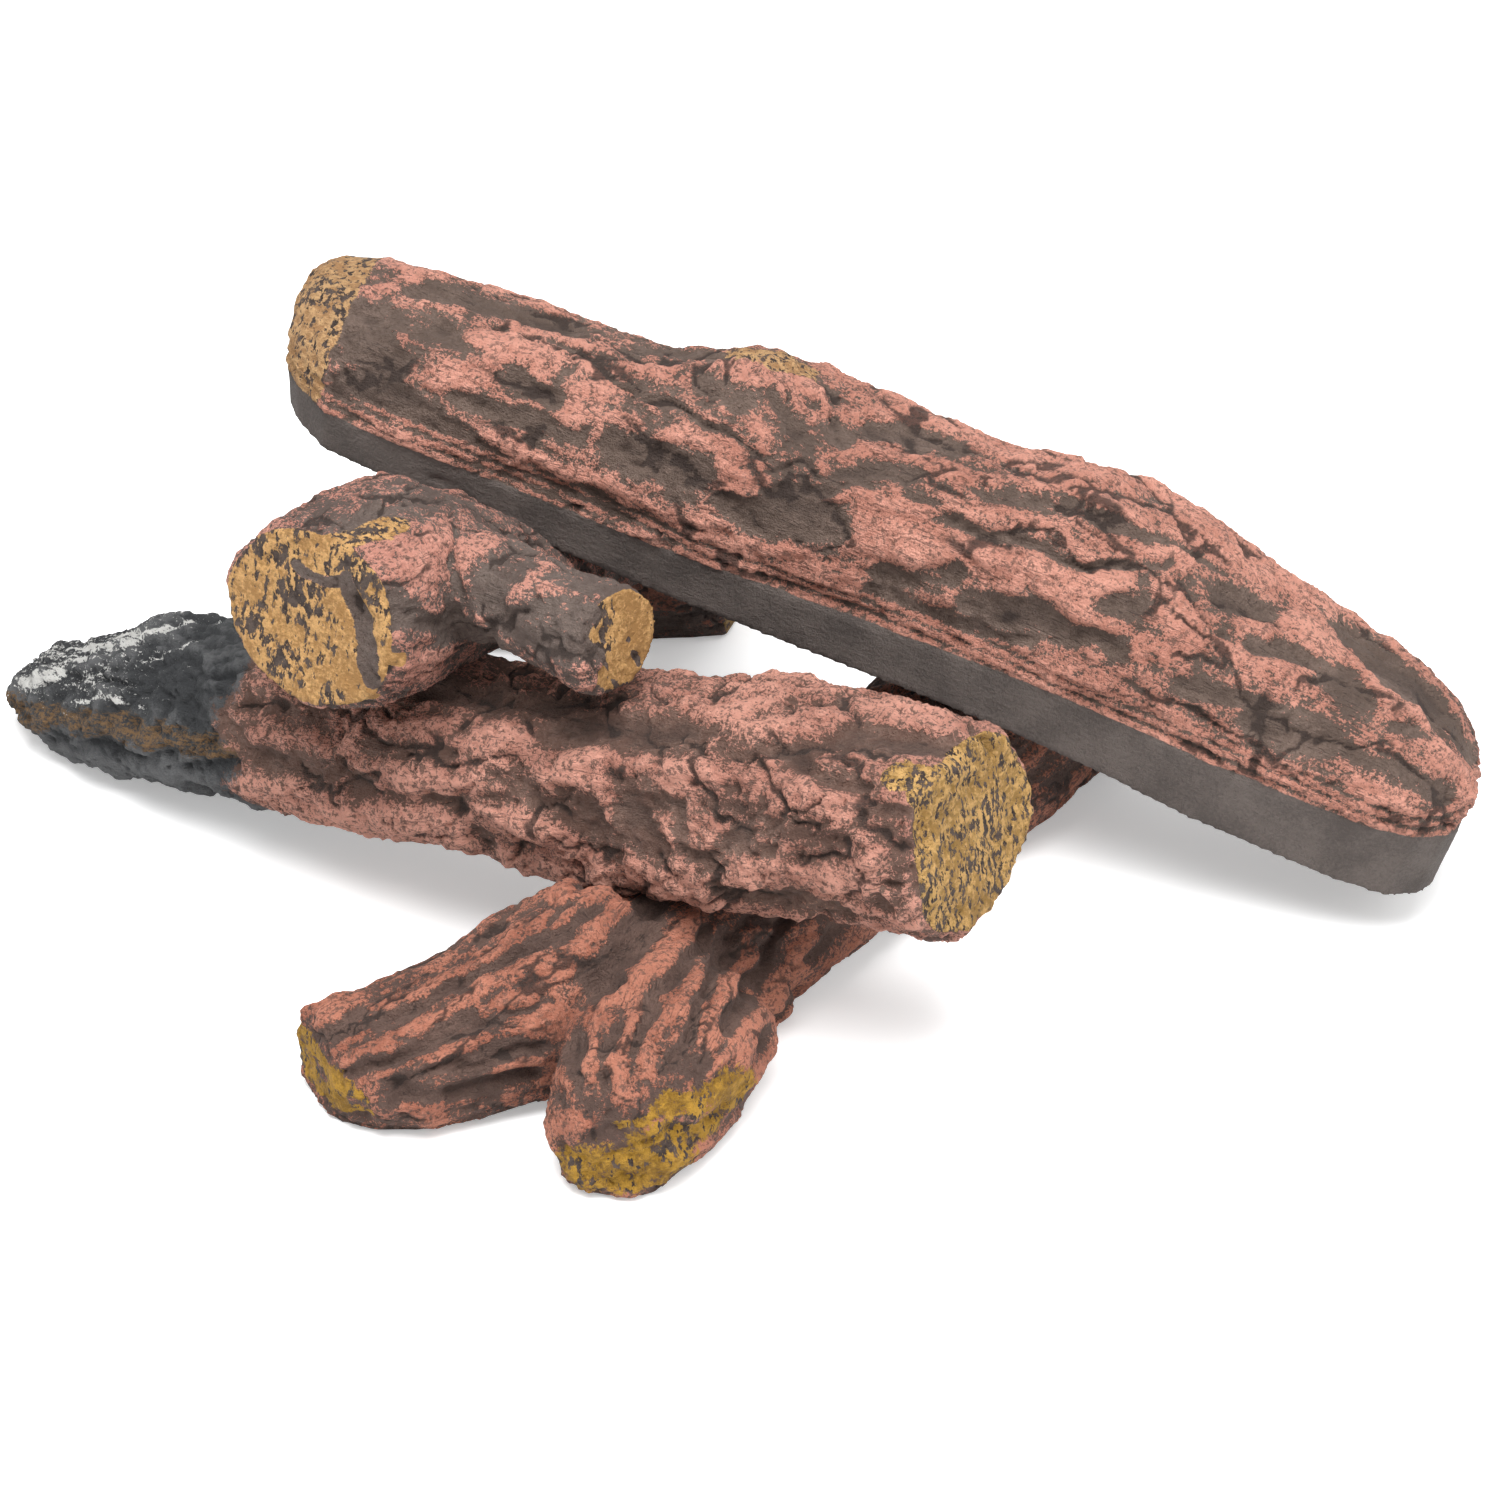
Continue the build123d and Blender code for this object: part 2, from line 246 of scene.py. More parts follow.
def barkTree(name, limbCount, labels):
    tree = bpy.data.node_groups.new(name, "GeometryNodeTree")
    net = Net(tree)
    face = tree.interface
    face.new_socket("Geometry", in_out="INPUT", socket_type="NodeSocketGeometry")
    for label in labels:
        face.new_socket(label, in_out="INPUT", socket_type="NodeSocketFloat")
    face.new_socket("Paint", in_out="INPUT", socket_type="NodeSocketMaterial")
    face.new_socket("Geometry", in_out="OUTPUT", socket_type="NodeSocketGeometry")
    given = tree.nodes.new("NodeGroupInput").outputs

    def attribute(label, kind="FLOAT"):
        return net.put("GeometryNodeInputNamedAttribute", {"data_type": kind}, {"Name": label}).outputs[0]

    def bending(place, scale, reach, seed):
        drift = net.noise(place, scale, detail=1.0, seed=seed, output=1)
        bend = net.vectors("SUBTRACT", drift, (noiseMiddle, noiseMiddle, noiseMiddle))
        return net.vectors("ADD", place, net.vectors("MULTIPLY", bend, (reach, reach, reach)))

    def stretched(place, length, width):
        sizes = (length, width, width)
        shares = {axis: net.maths("DIVIDE", place[axis], sizes[axis]) for axis in range(3)}
        return net.put("ShaderNodeCombineXYZ", None, shares).outputs[0]

    def limbBark(index):
        # the bark's height on one limb, and where it is cracked
        share = attribute(f"share{index}")
        seed = net.mix(given["Seed"], index * barkRule["limbSeed"])
        bent = bending(attribute(f"grain{index}", "FLOAT_VECTOR"), *barkRule["bend"], seed)
        place = net.split(bent)
        leaned = [place[0], place[1], net.mix(place[2], (place[0], given["Groove Lean"]))]
        lump = stretched(place, given["Lump Length"], given["Lump Width"])
        groove = stretched(leaned, given["Groove Length"], given["Groove Width"])
        pit = stretched(place, given["Pit Size"], given["Pit Size"])
        crumbled = net.split(bending(bent, *barkRule["crumble"], seed))
        plate = stretched(crumbled, given["Plate Length"], given["Plate Width"])
        lumps = net.ripple(lump, *barkRule["lumpNoise"], seed)
        grooves = net.ripple(groove, *barkRule["grooveNoise"], net.mix(seed, barkRule["grooveSeed"]))
        highest, lowest = barkRule["grooveCaps"]
        grooves = net.maths("MINIMUM", net.most(net.times(grooves, barkRule["grooveGain"]), lowest), highest)
        pits = net.ramp(net.noise(pit, *barkRule["pitNoise"], seed), *barkRule["pitEdge"])
        sockets = {"Vector": plate, "Scale": 1.0}
        edge = net.put("ShaderNodeTexVoronoi", {"feature": "DISTANCE_TO_EDGE"}, sockets).outputs[0]
        runs = net.noise(lump, *barkRule["creviceNoise"], net.mix(seed, barkRule["creviceSeed"]))
        crack = net.times(net.ramp(edge, *barkRule["creviceEdge"]), net.ramp(runs, *barkRule["creviceRuns"]))
        grit = net.ripple(stretched(place, *barkRule["gritSize"]), *barkRule["gritNoise"], seed)
        height = net.mix(
            (lumps, net.times(given["Lump Depth"], barkRule["lumpGain"])),
            (grooves, given["Groove Depth"]),
        )
        height = net.less(height, net.times(pits, given["Pit Depth"]))
        height = net.less(height, net.times(crack, given["Crevice Depth"]))
        height = net.mix(height, (grit, net.times(given["Grit Depth"], barkRule["gritGain"])))
        return net.times(height, share), net.times(crack, share)

    heights, cracks = zip(*(limbBark(index) for index in range(limbCount)))
    rough = net.less(1.0, attribute("calm"))
    crack = attribute("crack")
    carved = net.less(attribute("carved"), net.times(crack, barkRule["crackDepth"]))
    relief = net.mix(net.times(net.mix(*heights), rough), carved)
    relief = net.most(relief, net.mix((relief, barkRule["deepest"][0]), barkRule["deepest"][1]))
    shift = net.times(net.times(relief, attribute("room")), 1 / toMillimetres)
    normal = tree.nodes.new("GeometryNodeInputNormal").outputs[0]
    sockets = {"Vector": normal, "Scale": shift}
    offset = net.put("ShaderNodeVectorMath", {"operation": "SCALE"}, sockets).outputs[0]
    kept = given["Geometry"]
    crevice = net.most(net.times(net.mix(*cracks), rough), crack)
    for label, values in (("relief", relief), ("crevice", crevice)):
        sockets = {"Geometry": kept, "Name": label, "Value": values}
        settings = {"data_type": "FLOAT", "domain": "POINT"}
        kept = net.put("GeometryNodeStoreNamedAttribute", settings, sockets).outputs[0]
    moved = net.put("GeometryNodeSetPosition", None, {"Geometry": kept, "Offset": offset})
    real = net.put("GeometryNodeRealizeInstances", None, {"Geometry": moved.outputs[0]})
    sockets = {"Geometry": real.outputs[0], "Material": given["Paint"]}
    painted = net.put("GeometryNodeSetMaterial", None, sockets)
    net.put("NodeGroupOutput", None, {"Geometry": painted.outputs[0]})
    return tree


def workBark(piece, limbCount, rule, paint):
    tree = barkTree(piece.name + "Bark", limbCount, list(rule))
    bark = piece.modifiers.new("bark", "NODES")
    bark.node_group = tree
    sockets = {item.name: item.identifier for item in tree.interface.items_tree if item.in_out == "INPUT"}
    for label, value in rule.items():
        bark[sockets[label]] = value
    bark[sockets["Paint"]] = paint
    applyModifiers(piece)


# strokes laid one by one: ridges, hollows, knots and cracks
brush = {
    "wobble": (1.1, 0.6),  # how far the wide and the small waves bend a stroke
    "waves": ((4.1, 1.7, 6.3, 2.3, 3.7), (4.7, 1.5, 5.9, 2.6, 3.3), (4.4, 1.6, 6.7, 2.4, 3.1)),
    "edge": 3.4,  # how steep a stroke's sides are
    "splits": 2, "shortest": 14, "bow": 1.2,  # a stroke is split where the log bows away from it
    "rimSteps": 5,
    "widths": (0.9, 1.9),  # least and most that a stroke is widened where the log turns away
    "ridge": 0.6, "paint": 0.6, "paintLimits": (-1.0, 0.85),
}
solidTrees = {}


def wobbled(points):
    # bends the strokes a little, so that their edges wander
    places = (points * toMillimetres - stackShift).T
    wide, small = brush["wobble"]
    bent = []
    for axis, (length, sway, slow, quick, short) in enumerate(brush["waves"]):
        own, second, third = (places[(axis + turn) % 3] for turn in range(3))
        waves = wide * np.sin(second / length + sway * np.sin(third / slow))
        bent.append(own + waves + small * np.sin(third / quick + own / short))
    return np.stack(bent, 1)


def thrown(nodeName, column, row):
    # the place on a CAD log that the photo shows at this pixel, in millimetres
    if nodeName not in solidTrees:
        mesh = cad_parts[nodeName].data
        faces = [list(face.vertices) for face in mesh.polygons]
        solidTrees[nodeName] = BVHTree.FromPolygons([v.co for v in mesh.vertices], faces)
    half = photoView["side"] / 2
    reach = photoView["side"] * photoView["lens"] / photoView["sensor"]
    ray = (gaze @ Vector(((column - half) / reach, (half - row) / reach, -1))).normalized()
    spot = solidTrees[nodeName].ray_cast(eye, ray)[0]
    if spot is None:
        # beside the log: the nearest place on its rim
        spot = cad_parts[nodeName].data.vertices[0].co
        for step in range(brush["rimSteps"]):
            spot = solidTrees[nodeName].find_nearest(eye + ray * (spot - eye).dot(ray))[0]
    return np.array(spot) * toMillimetres - stackShift


def laidOn(nodeName, table):
    # strokes read off the photo, turned into strokes in millimetres on the log
    waiting = []
    for x0, y0, x1, y1, width, height in table:
        first, last = np.array((x0, y0), float), np.array((x1, y1), float)
        waiting.append((first, last, width, height, brush["splits"]))
    laid = []
    while waiting:
        first, last, width, height, splits = waiting.pop(0)
        middle, run = (first + last) / 2, last - first
        length = max(np.linalg.norm(run), 1e-6)
        start, between, end = (thrown(nodeName, *place) for place in (first, middle, last))
        bow = np.linalg.norm(between - (start + end) / 2)
        if splits and length > brush["shortest"] and bow > brush["bow"]:
            halves = ((first, middle), (middle, last))
            waiting[:0] = [(*half, width, height, splits - 1) for half in halves]
            continue
        across = np.array((-run[1], run[0])) / length * width / 2
        flat = width * photoView["pixel"]
        low, high = (share * flat for share in brush["widths"])
        wide = np.linalg.norm(thrown(nodeName, *(middle + across)) - thrown(nodeName, *(middle - across)))
        laid.append((*start, *end, min(max(wide, low), high), height))
    return laid


def strokes(points, table):
    # each stroke here: its start and end, then its width and its height, all in millimetres
    bent = wobbled(points)
    low, high = np.zeros(len(points)), np.zeros(len(points))
    for x0, y0, z0, x1, y1, z1, width, height in table:
        start, run = np.array((x0, y0, z0)), np.array((x1 - x0, y1 - y0, z1 - z0))
        share = np.clip((bent - start) @ run / max(run @ run, 1), 0, 1)
        away = np.linalg.norm(bent - start - share[:, None] * run, axis=1)
        laid = height * np.exp(-(2 * away / width) ** brush["edge"])
        low, high = np.minimum(low, laid), np.maximum(high, laid)
    return low + high


# a log's points while it is dressed, and the strokes that the photo shows on it
class Skin:
    def __init__(self, piece, log):
        self.node = log["node"]
        self.limbs = [Limb(**limb) for limb in log["limbs"]]
        self.points = perPoint(piece, "co")
        self.normals = perPoint(piece, "normal")
        self.local, self.shares = limbShares(self.limbs, self.points)

    def laid(self, table):
        return strokes(self.points, laidOn(self.node, table))

    def patch(self, table):
        return np.clip(self.laid(table), 0, 1)

    def facing(self, index):
        # 1 where the surface looks along a limb, and -1 where it looks back
        return self.normals @ self.limbs[index].along

    def carvedAndBrushed(self, *tables, more=()):
        # what the strokes do to the surface, and the paint that the brush then leaves on it
        laid = sum(self.laid(table) for table in tables)
        if more:
            laid = laid + strokes(self.points, more)
        carved = np.where(laid > 0, laid * brush["ridge"], laid)
        return {"carved": carved, "brush": np.clip(laid * brush["paint"], *brush["paintLimits"])}


# the paints that every log shares, and how their patterns mix
paints = {
    "charcoal": (0.118, 0.084, 0.069, 1), "charcoalDeep": (0.040, 0.025, 0.020, 1),
    "dirt": (0.170, 0.092, 0.070, 1),
    "band": (0.070, 0.056, 0.050, 1), "bandPale": (0.112, 0.091, 0.081, 1),
    "soot": (0.040, 0.042, 0.045, 1), "sootPale": (0.140, 0.142, 0.145, 1),
    # the off-white of the ash streaks, also used for the painted highlight on the charred end
    "ashAndGlint": (0.74, 0.73, 0.70, 1), "rust": (0.21, 0.118, 0.050, 1),
    "roughness": 0.84, "specular": 0.35,
}

# scale, detail and roughness of each noise, and a seed that keeps it apart from the others
patterns = {
    "fine": (780.0, 4.0, 0.75, 0), "middling": (190.0, 4.0, 0.65, 1), "broad": (45.0, 2.0, 0.5, 2),
    "streak": (1.0, 4.0, 0.65, 3), "threads": (1.0, 2.0, 0.5, 4), "stipple": (1.0, 3.0, 0.66, 5),
    "dirt": (380.0, 2.0, 0.6, 6), "web": (270.0, 2.0, 0.6, 7),
    "streakStretch": (0.11, 0.55, 0.55), "threadStretch": (0.035, 0.42, 0.42),
    "stippleStretch": (1.0, 1.0, 0.5),
    "rimHighlightsAt": 0.47, "rimShadowsAt": 0.57,
}

# from no paint to full paint
steps = {
    "rimHighlights": (0.040, 0.012), "rimShadows": (0.030, 0.010),
    "ground": (0.30, 0.80), "specks": (0.10, 0.34), "hollowShade": (-2.6, -5.0),
    "ridge": (0.3, 0.8), "paintedGlint": (0.02, 0.16), "dirt": (0.0, -0.15),
    "threads": (0.030, 0.008), "threadRuns": (-0.02, 0.10), "crevice": (0.40, 0.85),
    "band": (0.42, 0.58), "bandTone": (0.30, 0.70),
    "ochre": (0.42, 0.56), "ochreTone": (0.28, 0.72), "stippleTone": (-0.1, 0.15), "stippleSpan": 0.06,
    "soot": (0.40, 0.60), "sootTone": (0.30, 0.85), "ashAndGlint": (0.64, 0.88),
    "rust": (0.42, 0.75), "rustTone": (-0.12, 0.14),
}

# how much each pattern counts where the paints and the bumps are mixed
weights = {
    "reliefLevel": 0.52, "brushLevel": 1.3, "streakLevel": 4.5, "broadLevel": 2.0, "rimShadowLevel": -1.6,
    "hollowShadeGround": 0.7, "reliefRidge": 0.08, "paintedGlintRidge": 0.30,
    "fineCrevice": 1.2, "threadWashAndShade": 0.6, "creviceWashAndShade": 0.85,
    "streakBand": 0.35, "fineBandTone": 0.8,
    "ochreTone": 1.5, "mottleOchre": 0.7, "streakOchre": 0.5,
    "reliefSootTone": 0.12, "streakRust": 1.5, "streakAshAndGlint": 2.2, "fineAshAndGlint": 2.6,
    "middlingBump": 1.2, "streakBump": 0.7, "stippleBump": -0.3, "threadBump": -0.15,
    "webBump": 0.08, "brushedBump": 0.08, "bandBump": -0.6, "bumpDistance": 0.004,
}


def barkPaint(name, look):
    made = bpy.data.materials.new(name)
    made.use_nodes = True
    net = Net(made.node_tree)
    shader = made.node_tree.nodes["Principled BSDF"]
    shader.inputs["Roughness"].default_value = paints["roughness"]
    shader.inputs["Specular IOR Level"].default_value = paints["specular"]
    spot = net.put("ShaderNodeTexCoord").outputs["Object"]
    grain = net.put("ShaderNodeAttribute", {"attribute_name": "grain"}).outputs["Vector"]

    def mask(label):
        return net.put("ShaderNodeAttribute", {"attribute_name": label}).outputs["Fac"]

    def noise(label, vector=spot):
        scale, detail, roughness, seed = patterns[label]
        return net.noise(vector, scale, detail, roughness, look["seed"] + seed)

    def ripple(label, vector=spot):
        return net.less(noise(label, vector), noiseMiddle)

    def step(label, value):
        return net.ramp(value, *steps[label])

    fine, middling, broad = ripple("fine"), ripple("middling"), noise("broad")
    streak = ripple("streak", net.vectors("MULTIPLY", grain, patterns["streakStretch"]))
    swell = net.less(broad, noiseMiddle)
    relief = mask("relief")

    # dry brushing catches what stands up and skips over the pits; two lines side by side on the web noise
    # paint a pink highlight beside a dark shadow, for an embossed look
    web = noise("web")
    rimHighlights = step("rimHighlights", net.off(web, patterns["rimHighlightsAt"]))
    rimShadows = step("rimShadows", net.off(web, patterns["rimShadowsAt"]))
    level = net.mix(
        (relief, weights["reliefLevel"]), (mask("brush"), weights["brushLevel"]),
        (middling, look["mottle"]), (fine, look["speckle"]), (streak, weights["streakLevel"]),
        (swell, weights["broadLevel"]), (net.mix(rimHighlights, (rimShadows, weights["rimShadowLevel"])), look["web"]),
    )
    brushed = net.ramp(level, look["cover"], look["cover"] + look["soft"])
    ground = net.tint(step("ground", net.mix(broad, fine, middling)), look["ground"], look["groundPale"])
    ground = net.tint(step("specks", net.mix(middling, fine)), ground, paints["charcoalDeep"])
    # painted shade: the ground darkens towards charcoalDeep where the relief sinks deepest
    ground = net.tint(net.times(step("hollowShade", relief), weights["hollowShadeGround"]), ground, paints["charcoalDeep"])
    pale = step("ridge", net.mix(broad, middling, (relief, weights["reliefRidge"])))
    ridge = net.tint(pale, look["ridge"], look["ridgePale"])
    # a painted highlight: pale glints speckled over the pink where the fine noise peaks
    ridge = net.tint(net.times(step("paintedGlint", fine), weights["paintedGlintRidge"]), ridge, look["paintedGlint"])
    dirt = net.mix(fine, ripple("dirt"))
    ridge = net.tint(net.times(step("dirt", dirt), look["dirt"]), ridge, paints["dirt"])
    colour = net.tint(brushed, ground, ridge)
    # thin dark lines along the grain and dark crevices: a dark wash, and painted shade in the cracks
    threads = noise("threads", net.vectors("MULTIPLY", grain, patterns["threadStretch"]))
    threads = step("threads", net.off(threads, noiseMiddle))
    threads = net.times(threads, step("threadRuns", net.mix(middling, streak)))
    crevice = step("crevice", net.mix(mask("crevice"), (fine, weights["fineCrevice"])))
    dark = net.most(net.times(threads, weights["threadWashAndShade"]), net.times(crevice, weights["creviceWashAndShade"]))
    colour = net.tint(dark, colour, paints["charcoalDeep"])

    # the smooth cast band keeps its charcoal
    band = step("band", net.mix(mask("band"), (streak, weights["streakBand"])))
    bandTone = step("bandTone", net.mix(broad, (fine, weights["fineBandTone"])))
    bandTone = net.tint(bandTone, paints["band"], paints["bandPale"])
    colour = net.tint(band, colour, bandTone)

    # cut ends: ochre, stippled with the charcoal under it
    ochre = step("ochreTone", net.mix(broad, (net.mix(middling, streak), weights["ochreTone"])))
    ochre = net.tint(ochre, look["ochre"], look["ochrePale"])
    size = look["stippleSize"]
    stretch = tuple(share / size for share in patterns["stippleStretch"])
    stipple = noise("stipple", net.vectors("MULTIPLY", spot, stretch))
    stipple = net.mix(stipple, (swell, look["stippleClumps"]))
    stippled = net.ramp(stipple, look["stippleAt"], look["stippleAt"] + steps["stippleSpan"])
    stippleTone = net.tint(step("stippleTone", middling), paints["charcoal"], paints["charcoalDeep"])
    ochre = net.tint(stippled, ochre, stippleTone)
    patchy = net.mix((net.mix(middling, fine), weights["mottleOchre"]), (streak, weights["streakOchre"]))
    cut = step("ochre", net.mix(mask("ochre"), patchy))
    colour = net.tint(cut, colour, ochre)

    # charred end: soot with white ash streaks, and a painted highlight on its upward faces
    soot = step("sootTone", net.mix(broad, middling, (relief, weights["reliefSootTone"])))
    soot = net.tint(soot, paints["soot"], paints["sootPale"])
    rustTone = net.tint(step("rustTone", net.mix(fine, streak)), paints["soot"], paints["rust"])
    rust = step("rust", net.mix(mask("rust"), (streak, weights["streakRust"]), middling))
    soot = net.tint(rust, soot, rustTone)
    ashAndGlint = step("ashAndGlint", net.mix(mask("ashAndGlint"), (streak, weights["streakAshAndGlint"]), (fine, weights["fineAshAndGlint"])))
    soot = net.tint(ashAndGlint, soot, paints["ashAndGlint"])
    colour = net.tint(step("soot", net.mix(mask("soot"), middling, fine)), colour, soot)
    made.node_tree.links.new(colour, shader.inputs["Base Color"])

    height = net.mix(
        fine, (middling, weights["middlingBump"]), (streak, weights["streakBump"]),
        (net.times(stippled, cut), weights["stippleBump"]), (threads, weights["threadBump"]),
        (net.less(rimHighlights, rimShadows), weights["webBump"]), (brushed, weights["brushedBump"]),
    )
    height = net.times(height, net.mix(1.0, (band, weights["bandBump"])))
    sockets = {"Strength": 1.0, "Distance": weights["bumpDistance"], "Height": height}
    bump = net.put("ShaderNodeBump", None, sockets)
    made.node_tree.links.new(bump.outputs[0], shader.inputs["Normal"])
    return made


def makeLog(log, dress):
    piece = voxelCopy(log["node"], log["piece"], log["grain"])
    skin = Skin(piece, log)
    count = range(len(skin.limbs))
    for index in count:
        keepAttribute(piece, f"grain{index}", skin.local[index], "FLOAT_VECTOR")
        keepAttribute(piece, f"share{index}", skin.shares[index])
    grain = sum(skin.local[index] * skin.shares[index][:, None] for index in count)
    keepAttribute(piece, "grain", grain, "FLOAT_VECTOR")
    keepAttribute(piece, "room", seatRoom(log["node"], skin.points))
    masks = dict.fromkeys(("calm", "carved", "crack", "band", "ochre", "soot", "ashAndGlint", "rust", "brush"), 0)
    masks.update(dress(skin))
    for name, values in masks.items():
        keepAttribute(piece, name, np.zeros(len(skin.points)) + values)
    workBark(piece, len(skin.limbs), log["bark"], barkPaint(log["paint"], log["look"]))
    places = perPoint(piece, "co")
    places[:, 2] = np.maximum(places[:, 2], 0.0)
    piece.data.vertices.foreach_set("co", places.astype(np.float32).ravel())
    piece.data.polygons.foreach_set("use_smooth", np.ones(len(piece.data.polygons), bool))
    spent = ["room", "calm", "carved", "crack"]
    spent += [f"{label}{index}" for label in ("grain", "share") for index in count]
    for name in spent:
        piece.data.attributes.remove(piece.data.attributes[name])
    piece.data.update()
    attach(piece, log["body"])
    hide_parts(log["node"])
    print("log", log["piece"], len(piece.data.polygons) * 2, "triangles")


